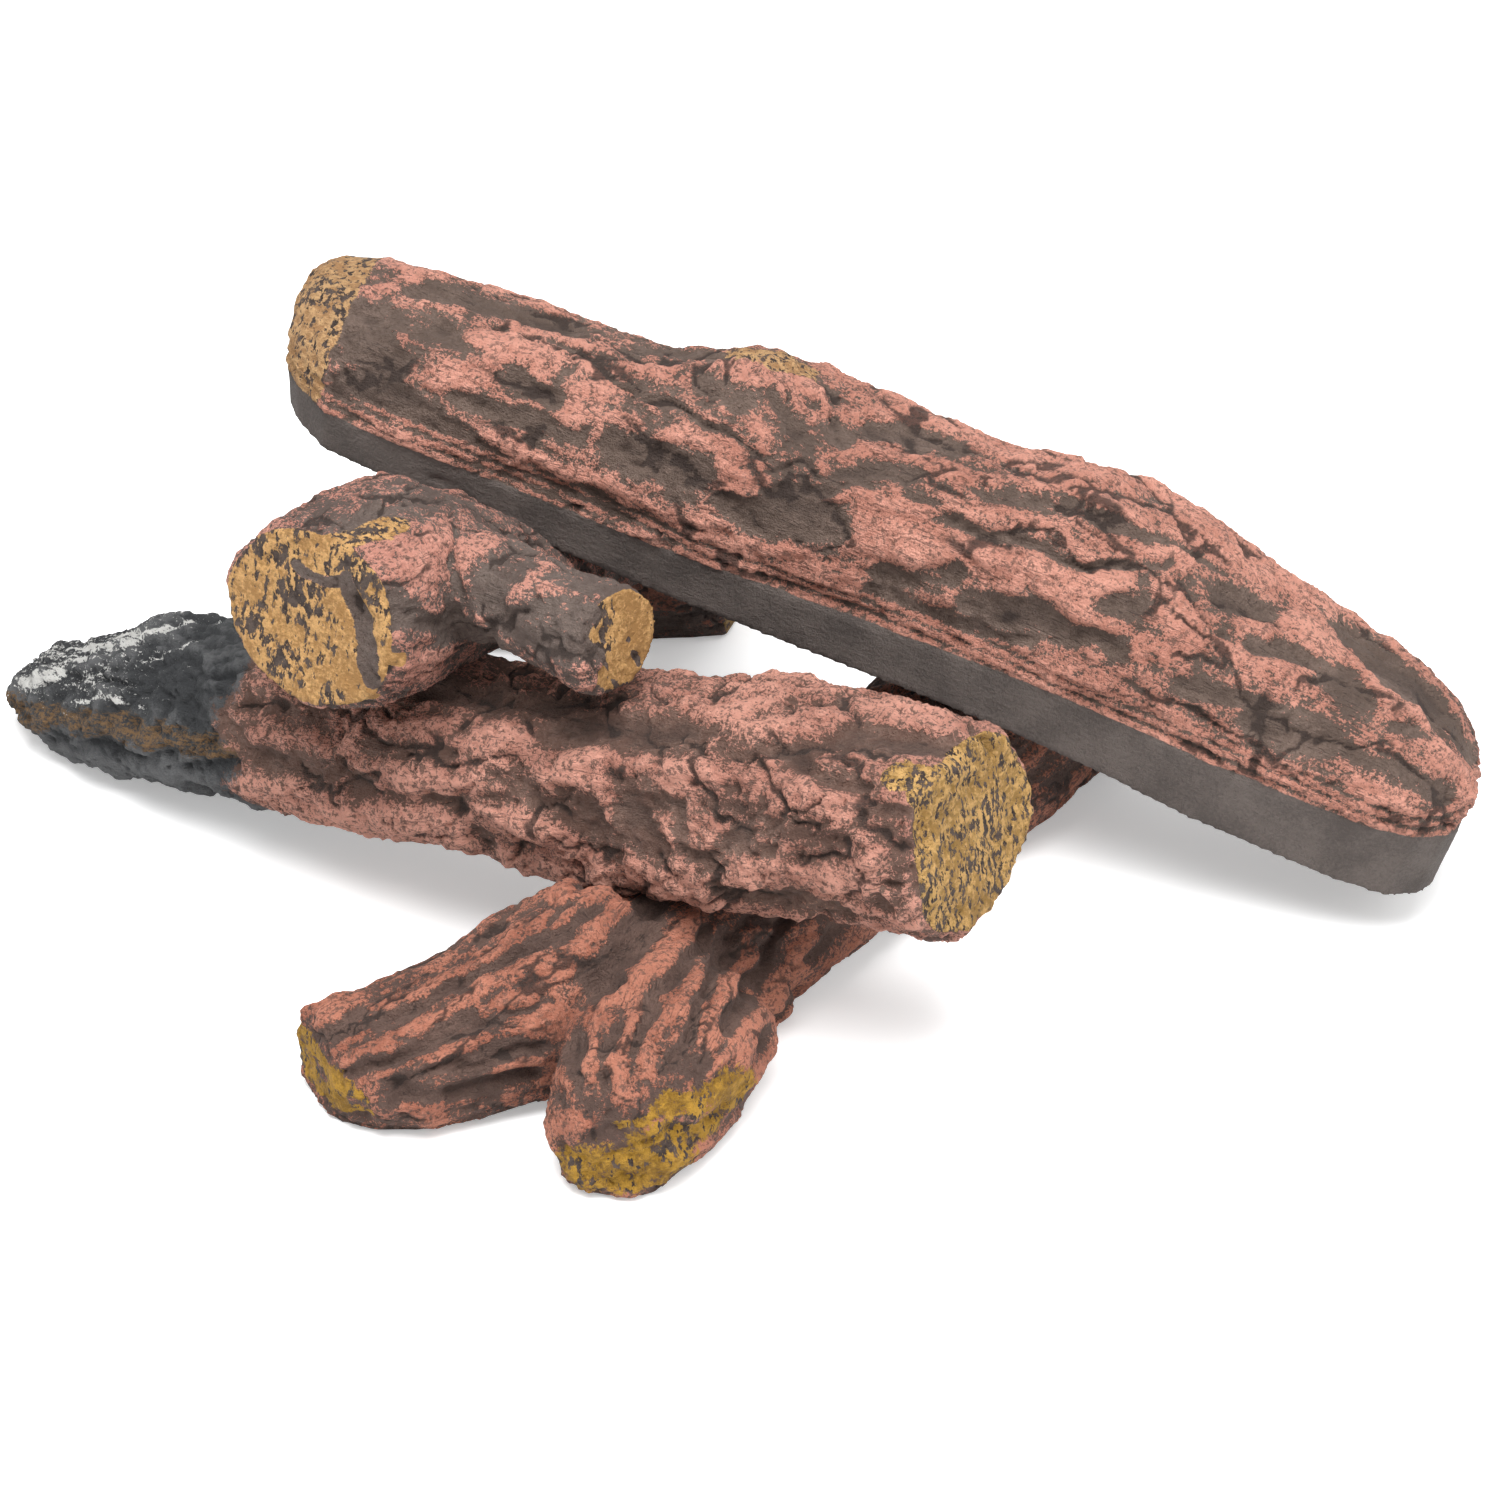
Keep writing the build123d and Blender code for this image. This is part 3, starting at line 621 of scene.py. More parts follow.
# Each log has what it stands for, its limbs, its bark, its look and the strokes that the photo shows
# on it. A stroke is a column and a row of the photo, where it ends, its width there, and its height
# in millimetres, less than 0 for a hollow. A pair of numbers runs from no effect to full effect.
backLog = {
    "node": "back_log", "body": "back", "piece": "backLogBark",
    "slot": "ridged_bark", "paint": "ridgedBark",
    "grain": 0.0015,
    "limbs": [
        {
            "place": (-173, 23), "rise": 164.5, "yaw": -15.6, "pitch": -17.539,
            "length": 484, "middle": 38, "radius": 46,
        },
    ],
    "bark": {
        "Lump Length": 62, "Lump Width": 27, "Lump Depth": 2.2,
        "Groove Length": 34, "Groove Width": 11, "Groove Depth": 1.5, "Groove Lean": 0.10,
        "Plate Length": 46, "Plate Width": 19, "Crevice Depth": 1.3,
        "Pit Size": 6, "Pit Depth": 1.0, "Grit Depth": 0.5, "Seed": 2.0,
    },
    "look": {
        "ridge": (0.53, 0.222, 0.157, 1), "ridgePale": (0.74, 0.348, 0.260, 1),
        # the colour of the painted highlight glints on the pink
        "paintedGlint": (0.80, 0.44, 0.35, 1),
        "ground": (0.123, 0.083, 0.065, 1), "groundPale": (0.221, 0.153, 0.122, 1),
        "ochre": (0.42, 0.225, 0.095, 1), "ochrePale": (0.66, 0.40, 0.19, 1),
        "cover": -0.62, "soft": 0.40, "mottle": 4.8, "speckle": 5.8, "dirt": 0.75, "web": 0.6,
        "stippleSize": 0.0026, "stippleAt": 0.52, "stippleClumps": 0.3, "seed": 1.0,
    },
    "bandHeights": (15, 29),  # top of the cast band at the log's left and right ends
    "bandEdge": (2.5, -1.5),
    "ochreReach": (15, -0.08),  # how far the ochre comes round the left end, and its lean
    "ochreEdge": (4, -3),
    "ledges": (1.45, 1.6, 23),  # thin ledges just above the band: how close, how wavy, how long
    "ledgeRise": (0, 2, 10, 14), "ledgePaint": (0.5, 1.2), "ledgeDepth": 0.7,
    "bright": (0.30, 0.45, 0.60, 0.75, 0.35),  # where along the log it is brushed more, and how much
    "dull": (0.45, 0.20, 0.45),  # where it is brushed less, and how much
    "calm": (0.6, 0.96), "knotOchreGain": 1.4,
    "strokes": [
        (373, 289, 416, 278, 14, 1.6), (412, 270, 501, 287, 16, 1.8), (494, 287, 557, 313, 13, 1.8),
        (399, 295, 458, 311, 12, 1.2), (407, 335, 410, 376, 14, 1.6), (438, 380, 501, 370, 32, 2),
        (482, 335, 517, 355, 24, 1.8), (494, 398, 537, 408, 13, 1.4), (513, 325, 579, 349, 13, 1.6),
        (533, 365, 549, 376, 12, 1.2), (567, 406, 602, 388, 24, 1.8), (612, 365, 646, 369, 12, 1.4),
        (660, 370, 743, 386, 24, 1.2), (573, 367, 660, 398, 9, 1), (614, 416, 648, 444, 17, 2),
        (646, 442, 689, 430, 17, 2), (695, 438, 754, 461, 20, 1.8), (721, 467, 756, 479, 14, 1.8),
        (695, 489, 762, 487, 13, 1.4), (418, 394, 501, 442, 12, 1.6), (501, 442, 581, 477, 13, 1.6),
        (581, 477, 654, 509, 13, 1.6), (660, 513, 735, 533, 12, 1.2), (735, 541, 822, 568, 13, 1.5),
        (747, 406, 766, 446, 14, 1.4), (810, 380, 828, 402, 16, 2.2), (830, 410, 901, 414, 14, 1.4),
        (826, 461, 897, 454, 20, 1.8), (830, 493, 897, 501, 13, 1.4), (830, 525, 897, 552, 36, 1.4),
        (830, 370, 901, 390, 14, 1.5), (679, 533, 735, 541, 9, 1), (359, 315, 387, 359, 43, -2.6),
        (331, 386, 379, 410, 24, -2.2), (418, 289, 557, 323, 17, -2.8), (440, 325, 458, 343, 16, -2.2),
        (513, 376, 553, 394, 22, -2.4), (458, 396, 541, 420, 20, -2.4), (399, 402, 494, 455, 36, -3.2),
        (501, 416, 581, 436, 17, -2), (501, 473, 581, 493, 20, -2.6), (573, 493, 679, 541, 20, -2.6),
        (553, 394, 573, 370, 12, -1.6), (620, 446, 695, 477, 40, -3.2), (711, 378, 745, 398, 28, -2.4),
        (739, 509, 830, 525, 43, -3.4), (648, 349, 747, 353, 16, -2), (832, 434, 897, 430, 16, -2),
        (766, 493, 897, 485, 9, -1.6), (834, 473, 897, 477, 14, -2), (735, 576, 897, 620, 16, -1.6),
        (533, 438, 565, 461, 12, -1.2), (553, 343, 616, 376, 6, -3), (616, 376, 660, 400, 7, -3.4),
        (660, 400, 727, 430, 7, -3.4), (727, 430, 766, 473, 6, -3.2), (766, 473, 808, 461, 5.5, -2.6),
        (808, 461, 818, 475, 4.5, -2.4), (820, 376, 836, 406, 5.5, -3.4), (836, 402, 830, 434, 4.5, -3),
        (782, 382, 790, 426, 5.5, -2.6), (790, 426, 828, 430, 4.5, -2.2), (806, 402, 820, 404, 9, -2.6),
        (499, 376, 513, 365, 4.5, -2.6), (868, 441, 901, 453, 24, 2), (905, 453, 995, 484, 18, 2),
        (864, 500, 925, 512, 16, 1.8), (864, 543, 942, 551, 29, 1.8), (962, 543, 1056, 576, 29, 2),
        (1076, 580, 1123, 584, 18, 1.8), (1044, 596, 1105, 627, 19, 1.8), (1105, 629, 1162, 657, 24, 1.8),
        (1109, 543, 1170, 557, 20, 1.8), (1170, 551, 1180, 567, 15, 2), (929, 410, 1031, 461, 16, 1.6),
        (1031, 461, 1113, 506, 16, 1.6), (1113, 508, 1174, 537, 14, 1.4), (1093, 471, 1160, 492, 20, 2.2),
        (1182, 527, 1252, 563, 24, 1.4), (1252, 563, 1305, 592, 24, 1.4), (1162, 596, 1207, 629, 33, 1.6),
        (1166, 645, 1211, 641, 24, 1.6), (1223, 645, 1305, 678, 20, 1.8), (1248, 624, 1309, 624, 16, 1.6),
        (1309, 629, 1323, 653, 12, 1.6), (1317, 665, 1354, 653, 12, 1.4), (1354, 661, 1387, 702, 14, 1.6),
        (1387, 714, 1419, 710, 14, 1.8), (1415, 714, 1444, 755, 12, 1.6), (1089, 686, 1170, 710, 24, 0.9),
        (1162, 714, 1256, 739, 24, 0.9), (1199, 751, 1427, 845, 11, 0.9), (1350, 622, 1391, 649, 10, 1.4),
        (1391, 649, 1448, 686, 12, 1.6), (1444, 686, 1468, 731, 11, 1.4), (1362, 780, 1391, 804, 16, 1.2),
        (1431, 767, 1484, 767, 16, 1), (880, 424, 958, 447, 16, -2.6), (864, 467, 909, 471, 24, -2.6),
        (905, 482, 942, 506, 16, -1.8), (991, 488, 1064, 506, 24, -2.4), (1056, 502, 1170, 541, 18, -2.6),
        (946, 518, 1023, 543, 14, -3), (1023, 543, 1089, 567, 12, -3.4), (1089, 567, 1170, 563, 11, -3),
        (884, 576, 954, 576, 29, -2.8), (974, 604, 1052, 620, 37, -3.2), (1044, 629, 1121, 645, 24, -3.2),
        (1105, 608, 1150, 596, 23, -3), (1056, 584, 1080, 584, 11, -1.8), (868, 596, 942, 620, 20, -2.4),
        (942, 620, 1031, 645, 14, -2), (1187, 686, 1264, 706, 20, -2.6), (1264, 722, 1321, 739, 45, -3.2),
        (1227, 592, 1268, 612, 20, -3), (1223, 580, 1236, 604, 5.5, -3), (1256, 641, 1325, 663, 16, -2.8),
        (1329, 669, 1358, 694, 29, -2), (1362, 641, 1431, 698, 33, -3.6), (1399, 727, 1431, 735, 16, -2),
        (1440, 702, 1472, 751, 20, -2.2), (1146, 580, 1166, 604, 14, -2), (1211, 629, 1231, 645, 12, -2),
        (1305, 727, 1362, 759, 24, -1.8), (1370, 763, 1448, 792, 24, -1.8), (1113, 478, 1162, 498, 10, -2),
        (1309, 600, 1358, 653, 10, -2.2), (1121, 522, 1227, 571, 7, -2.2), (770, 395, 800, 430, 12, -2.4),
        (838, 388, 836, 430, 9, -2.6), (800, 372, 832, 388, 8, -2.2), (690, 352, 740, 356, 30, 1),
    ],
    "knotOchre": [
        (742, 352, 800, 362, 24, 0.62), (770, 366, 806, 374, 14, 0.6),
    ],
    "cracks": [
        (607, 373, 650, 397, 4, 1), (650, 397, 703, 417, 5, 1), (703, 417, 733, 437, 5, 1),
        (733, 437, 760, 453, 4, 1), (760, 453, 773, 470, 5, 1), (818, 373, 830, 392, 4, 1),
        (830, 392, 832, 415, 4, 1), (832, 415, 827, 432, 4, 1), (788, 466, 800, 461, 5, 1),
        (800, 461, 814, 470, 6, 1), (784, 382, 783, 400, 4, 1), (860, 430, 905, 452, 4, 0.9),
        (950, 470, 1010, 492, 4, 0.9), (1075, 520, 1120, 552, 5, 0.9), (1000, 560, 1042, 585, 4, 0.8),
        (420, 470, 470, 500, 5, 0.9), (500, 520, 560, 545, 4, 0.8), (470, 372, 540, 392, 4, 0.8),
        (1180, 610, 1215, 660, 4, 0.9), (700, 560, 760, 575, 4, 0.8), (1120, 640, 1160, 690, 4, 0.8),
    ],
}


def dressBack(skin):
    along, rise = skin.local[0][:, 0], skin.local[0][:, 2] + skin.limbs[0].middle
    share = along / skin.limbs[0].length
    left, right = backLog["bandHeights"]
    wall = left + (right - left) * share
    band = smooth(rise, *(wall + edge for edge in backLog["bandEdge"]))
    reach = backLog["ochreReach"][0] + backLog["ochreReach"][1] * rise
    ochre = smooth(along, *(reach + edge for edge in backLog["ochreEdge"]))
    laid = skin.carvedAndBrushed(backLog["strokes"])
    low, lowFull, highFull, high = (wall + up for up in backLog["ledgeRise"])
    edge = smooth(rise, low, lowFull) * smooth(rise, high, highFull)
    close, wavy, length = backLog["ledges"]
    ledges = np.sin(rise * close + wavy * np.sin(along / length))
    level, swing = backLog["ledgePaint"]
    laid["brush"] = laid["brush"] * (1 - edge) + edge * (level + swing * ledges)
    start, full, fading, end, gain = backLog["bright"]
    clear, dull, loss = backLog["dull"]
    laid["brush"] += gain * smooth(share, start, full) * smooth(share, end, fading)
    laid["brush"] -= loss * smooth(share, clear, dull)
    laid["carved"] = (laid["carved"] + edge * backLog["ledgeDepth"] * ledges) * (1 - band)
    cutCalm, calm = backLog["calm"]
    knot = backLog["knotOchreGain"] * skin.patch(backLog["knotOchre"])
    return {
        "band": band, "crack": skin.patch(backLog["cracks"]), "ochre": np.maximum(ochre, knot) * (1 - band),
        "calm": np.maximum(band, ochre * cutCalm) * calm, **laid,
    }


makeLog(backLog, dressBack)


frontLog = {
    "node": "front_log", "body": "front", "piece": "frontLogBark",
    "slot": "pitted_bark", "paint": "pittedBark",
    "grain": 0.00135,
    "limbs": [
        {
            "place": (-305, 24), "rise": -7.5, "yaw": -33.7, "pitch": 9.633,
            "length": 475, "middle": 40, "radius": 42,
        },
    ],
    "bark": {
        "Lump Length": 40, "Lump Width": 24, "Lump Depth": 3.2,
        "Groove Length": 20, "Groove Width": 12, "Groove Depth": 1.9, "Groove Lean": -0.15,
        "Plate Length": 30, "Plate Width": 17, "Crevice Depth": 2.0,
        "Pit Size": 5, "Pit Depth": 1.2, "Grit Depth": 0.7, "Seed": 7.0,
    },
    "look": {
        "ridge": (0.49, 0.212, 0.153, 1), "ridgePale": (0.70, 0.335, 0.250, 1),
        "paintedGlint": (0.70, 0.39, 0.31, 1),
        "ground": (0.142, 0.076, 0.056, 1), "groundPale": (0.245, 0.150, 0.116, 1),
        "ochre": (0.41, 0.230, 0.062, 1), "ochrePale": (0.72, 0.43, 0.15, 1),
        "cover": -0.80, "soft": 0.5, "mottle": 6.5, "speckle": 7.0, "dirt": 0.9, "web": 1.1,
        "stippleSize": 0.0022, "stippleAt": 0.51, "stippleClumps": 0.2, "seed": 11.0,
    },
    # along the log as shares of its length, by how it faces, or in millimetres
    "sootRun": (0.365, 0.275), "sootWave": (0.012, 5), "upperGlintRun": (0.30, 0.15), "upperGlintFacing": (0.0, 0.6),
    "ashAndGlintGains": (0.66, 0.50), "rustGain": 0.85,
    "cutFacing": (0.55, 0.85), "cutRun": (0.93, 0.96), "calmFacing": (0.35, 0.72), "calm": 0.5,
    "dull": (0.62, 0.38, 0.4), "bare": (0.46, 0.34, 0.8),
    "belly": 1.8, "bellyDown": (4, 24), "bellyFront": (0, 18), "bellyRun": (0.9, 0.7),
    # strokes in millimetres: a swelling below, and one under the stub
    "chin": [(-78, -162, 50, -50, -184, 57, 20, 6)],
    "saddle": [(-100, -13, 98, -64, -25, 105, 26, 6)],
    "strokes": [
        (253, 737, 349, 743, 21, 2), (337, 722, 440, 726, 21, 2), (328, 754, 379, 775, 15, 1.6),
        (391, 775, 497, 789, 17, 1.8), (257, 791, 337, 813, 29, 2), (375, 813, 457, 834, 29, 2),
        (467, 739, 530, 730, 17, 2), (526, 751, 631, 770, 25, 2), (501, 821, 560, 838, 29, 2),
        (547, 775, 610, 785, 13, 1.4), (227, 716, 295, 720, 13, 1.2), (560, 762, 636, 765, 18, 2.4),
        (636, 765, 778, 782, 17, 2.4), (778, 782, 836, 796, 15, 2), (836, 796, 909, 800, 15, 1.8),
        (673, 793, 720, 829, 11, 1.6), (720, 829, 778, 800, 11, 1.6), (651, 684, 713, 713, 18, 2),
        (705, 713, 764, 709, 15, 1.8), (771, 731, 829, 718, 25, 1.8), (814, 760, 851, 749, 15, 1.6),
        (851, 749, 865, 782, 13, 1.6), (869, 709, 978, 725, 18, 2), (567, 858, 625, 873, 22, 2.2),
        (636, 873, 727, 909, 25, 2.2), (756, 876, 869, 880, 18, 2), (858, 869, 909, 829, 15, 1.8),
        (938, 775, 978, 775, 13, 1.8), (764, 920, 887, 931, 11, 1.4), (596, 800, 622, 785, 11, 1.4),
        (655, 796, 669, 844, 9, 1.4), (607, 811, 615, 854, 9, 1.4), (687, 822, 720, 844, 9, 1.2),
        (749, 851, 778, 865, 9, 1.2), (974, 724, 996, 731, 18, 1.6), (261, 762, 337, 766, 21, -2.6),
        (366, 749, 446, 756, 19, -2.4), (438, 682, 547, 707, 29, -3.2), (391, 798, 459, 804, 11, -2.6),
        (358, 787, 375, 817, 19, -2.6), (497, 791, 545, 800, 42, -3.4), (623, 783, 660, 800, 25, -2.6),
        (564, 813, 598, 838, 25, -2.4), (278, 804, 303, 817, 10, -1.6), (476, 834, 497, 850, 13, -2.4),
        (311, 749, 362, 775, 8, -1.4), (560, 727, 698, 735, 40, -4), (702, 735, 756, 745, 25, -3),
        (767, 745, 862, 791, 18, -4.2), (854, 729, 956, 749, 20, -4.4), (978, 727, 993, 753, 7, -3),
        (571, 807, 604, 840, 33, -3.2), (625, 789, 651, 796, 18, -2.2), (625, 822, 647, 854, 33, -3),
        (676, 807, 678, 847, 16, -3), (687, 854, 716, 858, 16, -2), (724, 844, 764, 851, 22, -2.6),
        (620, 862, 624, 887, 16, -3.4), (724, 891, 836, 911, 17, -4), (767, 829, 854, 833, 29, -1.4),
        (891, 847, 891, 894, 36, -2), (876, 894, 884, 911, 15, -4), (862, 814, 909, 814, 15, -1.6),
        (924, 804, 927, 844, 11, -3), (764, 724, 793, 709, 15, -1.6), (836, 698, 865, 716, 11, -1.4),
        (560, 785, 582, 800, 15, -2.6), (698, 873, 727, 865, 11, -2), (909, 873, 934, 916, 15, -2),
        (46, 648, 223, 627, 13, 1.2), (63, 665, 219, 648, 10, 1), (17, 682, 84, 669, 13, 1),
        (51, 678, 177, 661, 8, -2), (84, 653, 202, 636, 6, -1.8), (101, 682, 236, 678, 8, -1.6),
        (25, 716, 126, 733, 11, 1.4), (126, 733, 236, 749, 11, 1.4), (51, 737, 236, 770, 10, -2.2),
        (118, 758, 253, 787, 13, 1), (160, 791, 261, 808, 8, -1.6), (570, 876, 604, 880, 14, 2.6),
    ],
    "ashAndGlint": [
        (46, 653, 80, 654, 4, 1), (69, 642, 143, 634, 6, 1), (89, 649, 143, 641, 5, 1),
        (139, 640, 196, 622, 6, 1), (168, 649, 198, 642, 4, 1), (181, 670, 217, 656, 4, 1),
        (23, 684, 57, 674, 8, 1), (72, 698, 107, 700, 5, 1), (110, 701, 139, 709, 7, 1),
        (130, 712, 162, 711, 6, 1), (198, 623, 223, 619, 5, 1), (145, 657, 168, 650, 3.5, 1),
        (25, 678, 38, 672, 4, 1), (177, 690, 189, 699, 4, 0.8), (59, 665, 84, 661, 3.5, 0.8),
    ],
    "rust": [
        (8, 709, 84, 722, 25, 1), (76, 722, 168, 737, 28, 1), (160, 733, 229, 749, 28, 1),
    ],
    "ochreBlob": [
        (893, 776, 942, 782, 29, 1), (918, 796, 945, 811, 22, 1), (924, 814, 942, 822, 7, 0.8),
    ],
}


def dressFront(skin):
    place, facing = skin.local[0], skin.facing(0)
    share = place[:, 0] / skin.limbs[0].length
    sway, length = frontLog["sootWave"]
    soot = smooth(share + sway * np.sin(place[:, 2] / length), *frontLog["sootRun"])
    cut = smooth(facing, *frontLog["cutFacing"]) * smooth(share, *frontLog["cutRun"])
    struck, upperGlint = frontLog["ashAndGlintGains"]
    ashAndGlint = struck * skin.patch(frontLog["ashAndGlint"])
    # painted highlight: white streaks on the upward faces near the charred tip
    ashAndGlint += upperGlint * smooth(skin.normals[:, 2], *frontLog["upperGlintFacing"]) * smooth(share, *frontLog["upperGlintRun"])
    laid = skin.carvedAndBrushed(frontLog["strokes"], more=frontLog["chin"])
    laid["carved"] += strokes(skin.points, frontLog["saddle"])
    for clear, full, loss in (frontLog["dull"], frontLog["bare"]):
        laid["brush"] -= loss * smooth(share, clear, full)
    below = smooth(-place[:, 2], *frontLog["bellyDown"]) * smooth(-place[:, 1], *frontLog["bellyFront"])
    laid["carved"] += frontLog["belly"] * below * smooth(share, *frontLog["bellyRun"])
    return {
        "soot": soot, "rust": frontLog["rustGain"] * skin.patch(frontLog["rust"]), "ashAndGlint": ashAndGlint,
        "ochre": np.maximum(cut, skin.patch(frontLog["ochreBlob"])),
        "calm": smooth(facing, *frontLog["calmFacing"]) * frontLog["calm"], **laid,
    }


makeLog(frontLog, dressFront)


branchLog = {
    "node": "branch_log", "body": "branch", "piece": "branchLogBark",
    "slot": "branch_bark", "paint": "branchBark",
    "grain": 0.0012,
    "limbs": [
        {
            "place": (-166, -148), "rise": 110, "yaw": 58, "pitch": -11.040,
            "length": 300, "middle": 40, "radius": 40,
        },
        {
            "place": (-126, -92), "rise": 122, "yaw": -44, "pitch": 4,
            "length": 110, "middle": 24, "radius": 24,
        },
    ],
    "bark": {
        "Lump Length": 60, "Lump Width": 30, "Lump Depth": 2.0,
        "Groove Length": 30, "Groove Width": 14, "Groove Depth": 1.0, "Groove Lean": 0.1,
        "Plate Length": 34, "Plate Width": 17, "Crevice Depth": 1.2,
        "Pit Size": 5, "Pit Depth": 1.0, "Grit Depth": 0.45, "Seed": 13.0,
    },
    "look": {
        "ridge": (0.54, 0.225, 0.165, 1), "ridgePale": (0.70, 0.33, 0.25, 1),
        "paintedGlint": (0.74, 0.42, 0.34, 1),
        "ground": (0.120, 0.084, 0.070, 1), "groundPale": (0.200, 0.150, 0.126, 1),
        "ochre": (0.44, 0.230, 0.075, 1), "ochrePale": (0.78, 0.45, 0.175, 1),
        "cover": -0.03, "soft": 0.6, "mottle": 6.0, "speckle": 6.5, "dirt": 0.8, "web": 0.7,
        "stippleSize": 0.0027, "stippleAt": 0.53, "stippleClumps": 0.8, "seed": 17.0,
    },
    "armFacing": (0.45, 0.8), "armCut": (40, 25),  # the big cut end
    "stubFacing": (0.6, 0.9), "stubCut": (85, 95),  # the stub's cut end
    "stubSide": (-13, -7), "stubWave": (3, 2.7),
    "crackOchre": 1.6, "crackDepth": 1.2, "crackPaint": 2.5, "calm": 0.7,
    "stubDull": (15, 50, 0.75),
    "armStrokes": [
        (391, 560, 444, 556, 63, 1.6), (469, 560, 490, 539, 25, 1.6), (417, 623, 457, 602, 9, 1.2),
        (457, 602, 467, 581, 9, 1.2), (370, 686, 476, 646, 14, 1.8), (467, 615, 490, 619, 14, 1.4),
        (391, 661, 463, 648, 8, 1), (391, 615, 471, 634, 21, -2.4), (450, 531, 459, 594, 10, -2.4),
        (391, 674, 459, 657, 6, -1.6), (379, 589, 412, 606, 21, -1.6), (484, 577, 505, 619, 21, -2.2),
        (269, 564, 320, 543, 17, -1.4), (345, 531, 379, 505, 17, -1.2), (492, 627, 497, 665, 8, -2),
    ],
    "stubStrokes": [
        (509, 602, 547, 570, 14, 1.2), (505, 659, 589, 686, 8, 1.2), (497, 606, 589, 615, 13, -1.4),
        (522, 632, 598, 644, 25, -1.2), (547, 589, 598, 602, 8, 1),
    ],
    "ochre": [
        (274, 560, 394, 524, 26, 1), (349, 566, 377, 648, 26, 1), (375, 655, 398, 661, 13, 1),
        (362, 665, 366, 690, 21, 1),
    ],
    "cracks": [
        (298, 571, 322, 578, 12, 1), (322, 578, 347, 583, 13, 1), (346, 583, 356, 610, 16, 1),
        (356, 610, 366, 647, 18, 1), (366, 647, 373, 678, 18, 1), (598, 655, 612, 680, 5, 1),
        (612, 680, 628, 690, 5, 1), (629, 642, 636, 668, 5, 1), (605, 630, 610, 648, 4, 1),
    ],
}


def dressBranch(skin):
    arm, stub = skin.local
    face = smooth(-skin.facing(0), *branchLog["armFacing"]) * smooth(arm[:, 0], *branchLog["armCut"])
    tip = smooth(skin.facing(1), *branchLog["stubFacing"]) * smooth(stub[:, 0], *branchLog["stubCut"])
    face, tip = face * skin.shares[0], tip * skin.shares[1]
    sway, length = branchLog["stubWave"]
    tip *= smooth(stub[:, 1] + sway * np.sin(stub[:, 2] / length), *branchLog["stubSide"])
    crack = skin.patch(branchLog["cracks"])
    ochre = np.maximum(np.maximum(face, tip), skin.patch(branchLog["ochre"]))
    ochre = ochre - branchLog["crackOchre"] * crack
    laid = skin.carvedAndBrushed(branchLog["armStrokes"] + branchLog["stubStrokes"])
    laid["carved"] -= branchLog["crackDepth"] * crack
    clear, full, loss = branchLog["stubDull"]
    dull = loss * skin.shares[1] * smooth(stub[:, 0], clear, full)
    laid["brush"] -= dull + branchLog["crackPaint"] * crack
    return {"ochre": ochre, "calm": np.clip(ochre, 0, 1) * branchLog["calm"], **laid}


makeLog(branchLog, dressBranch)


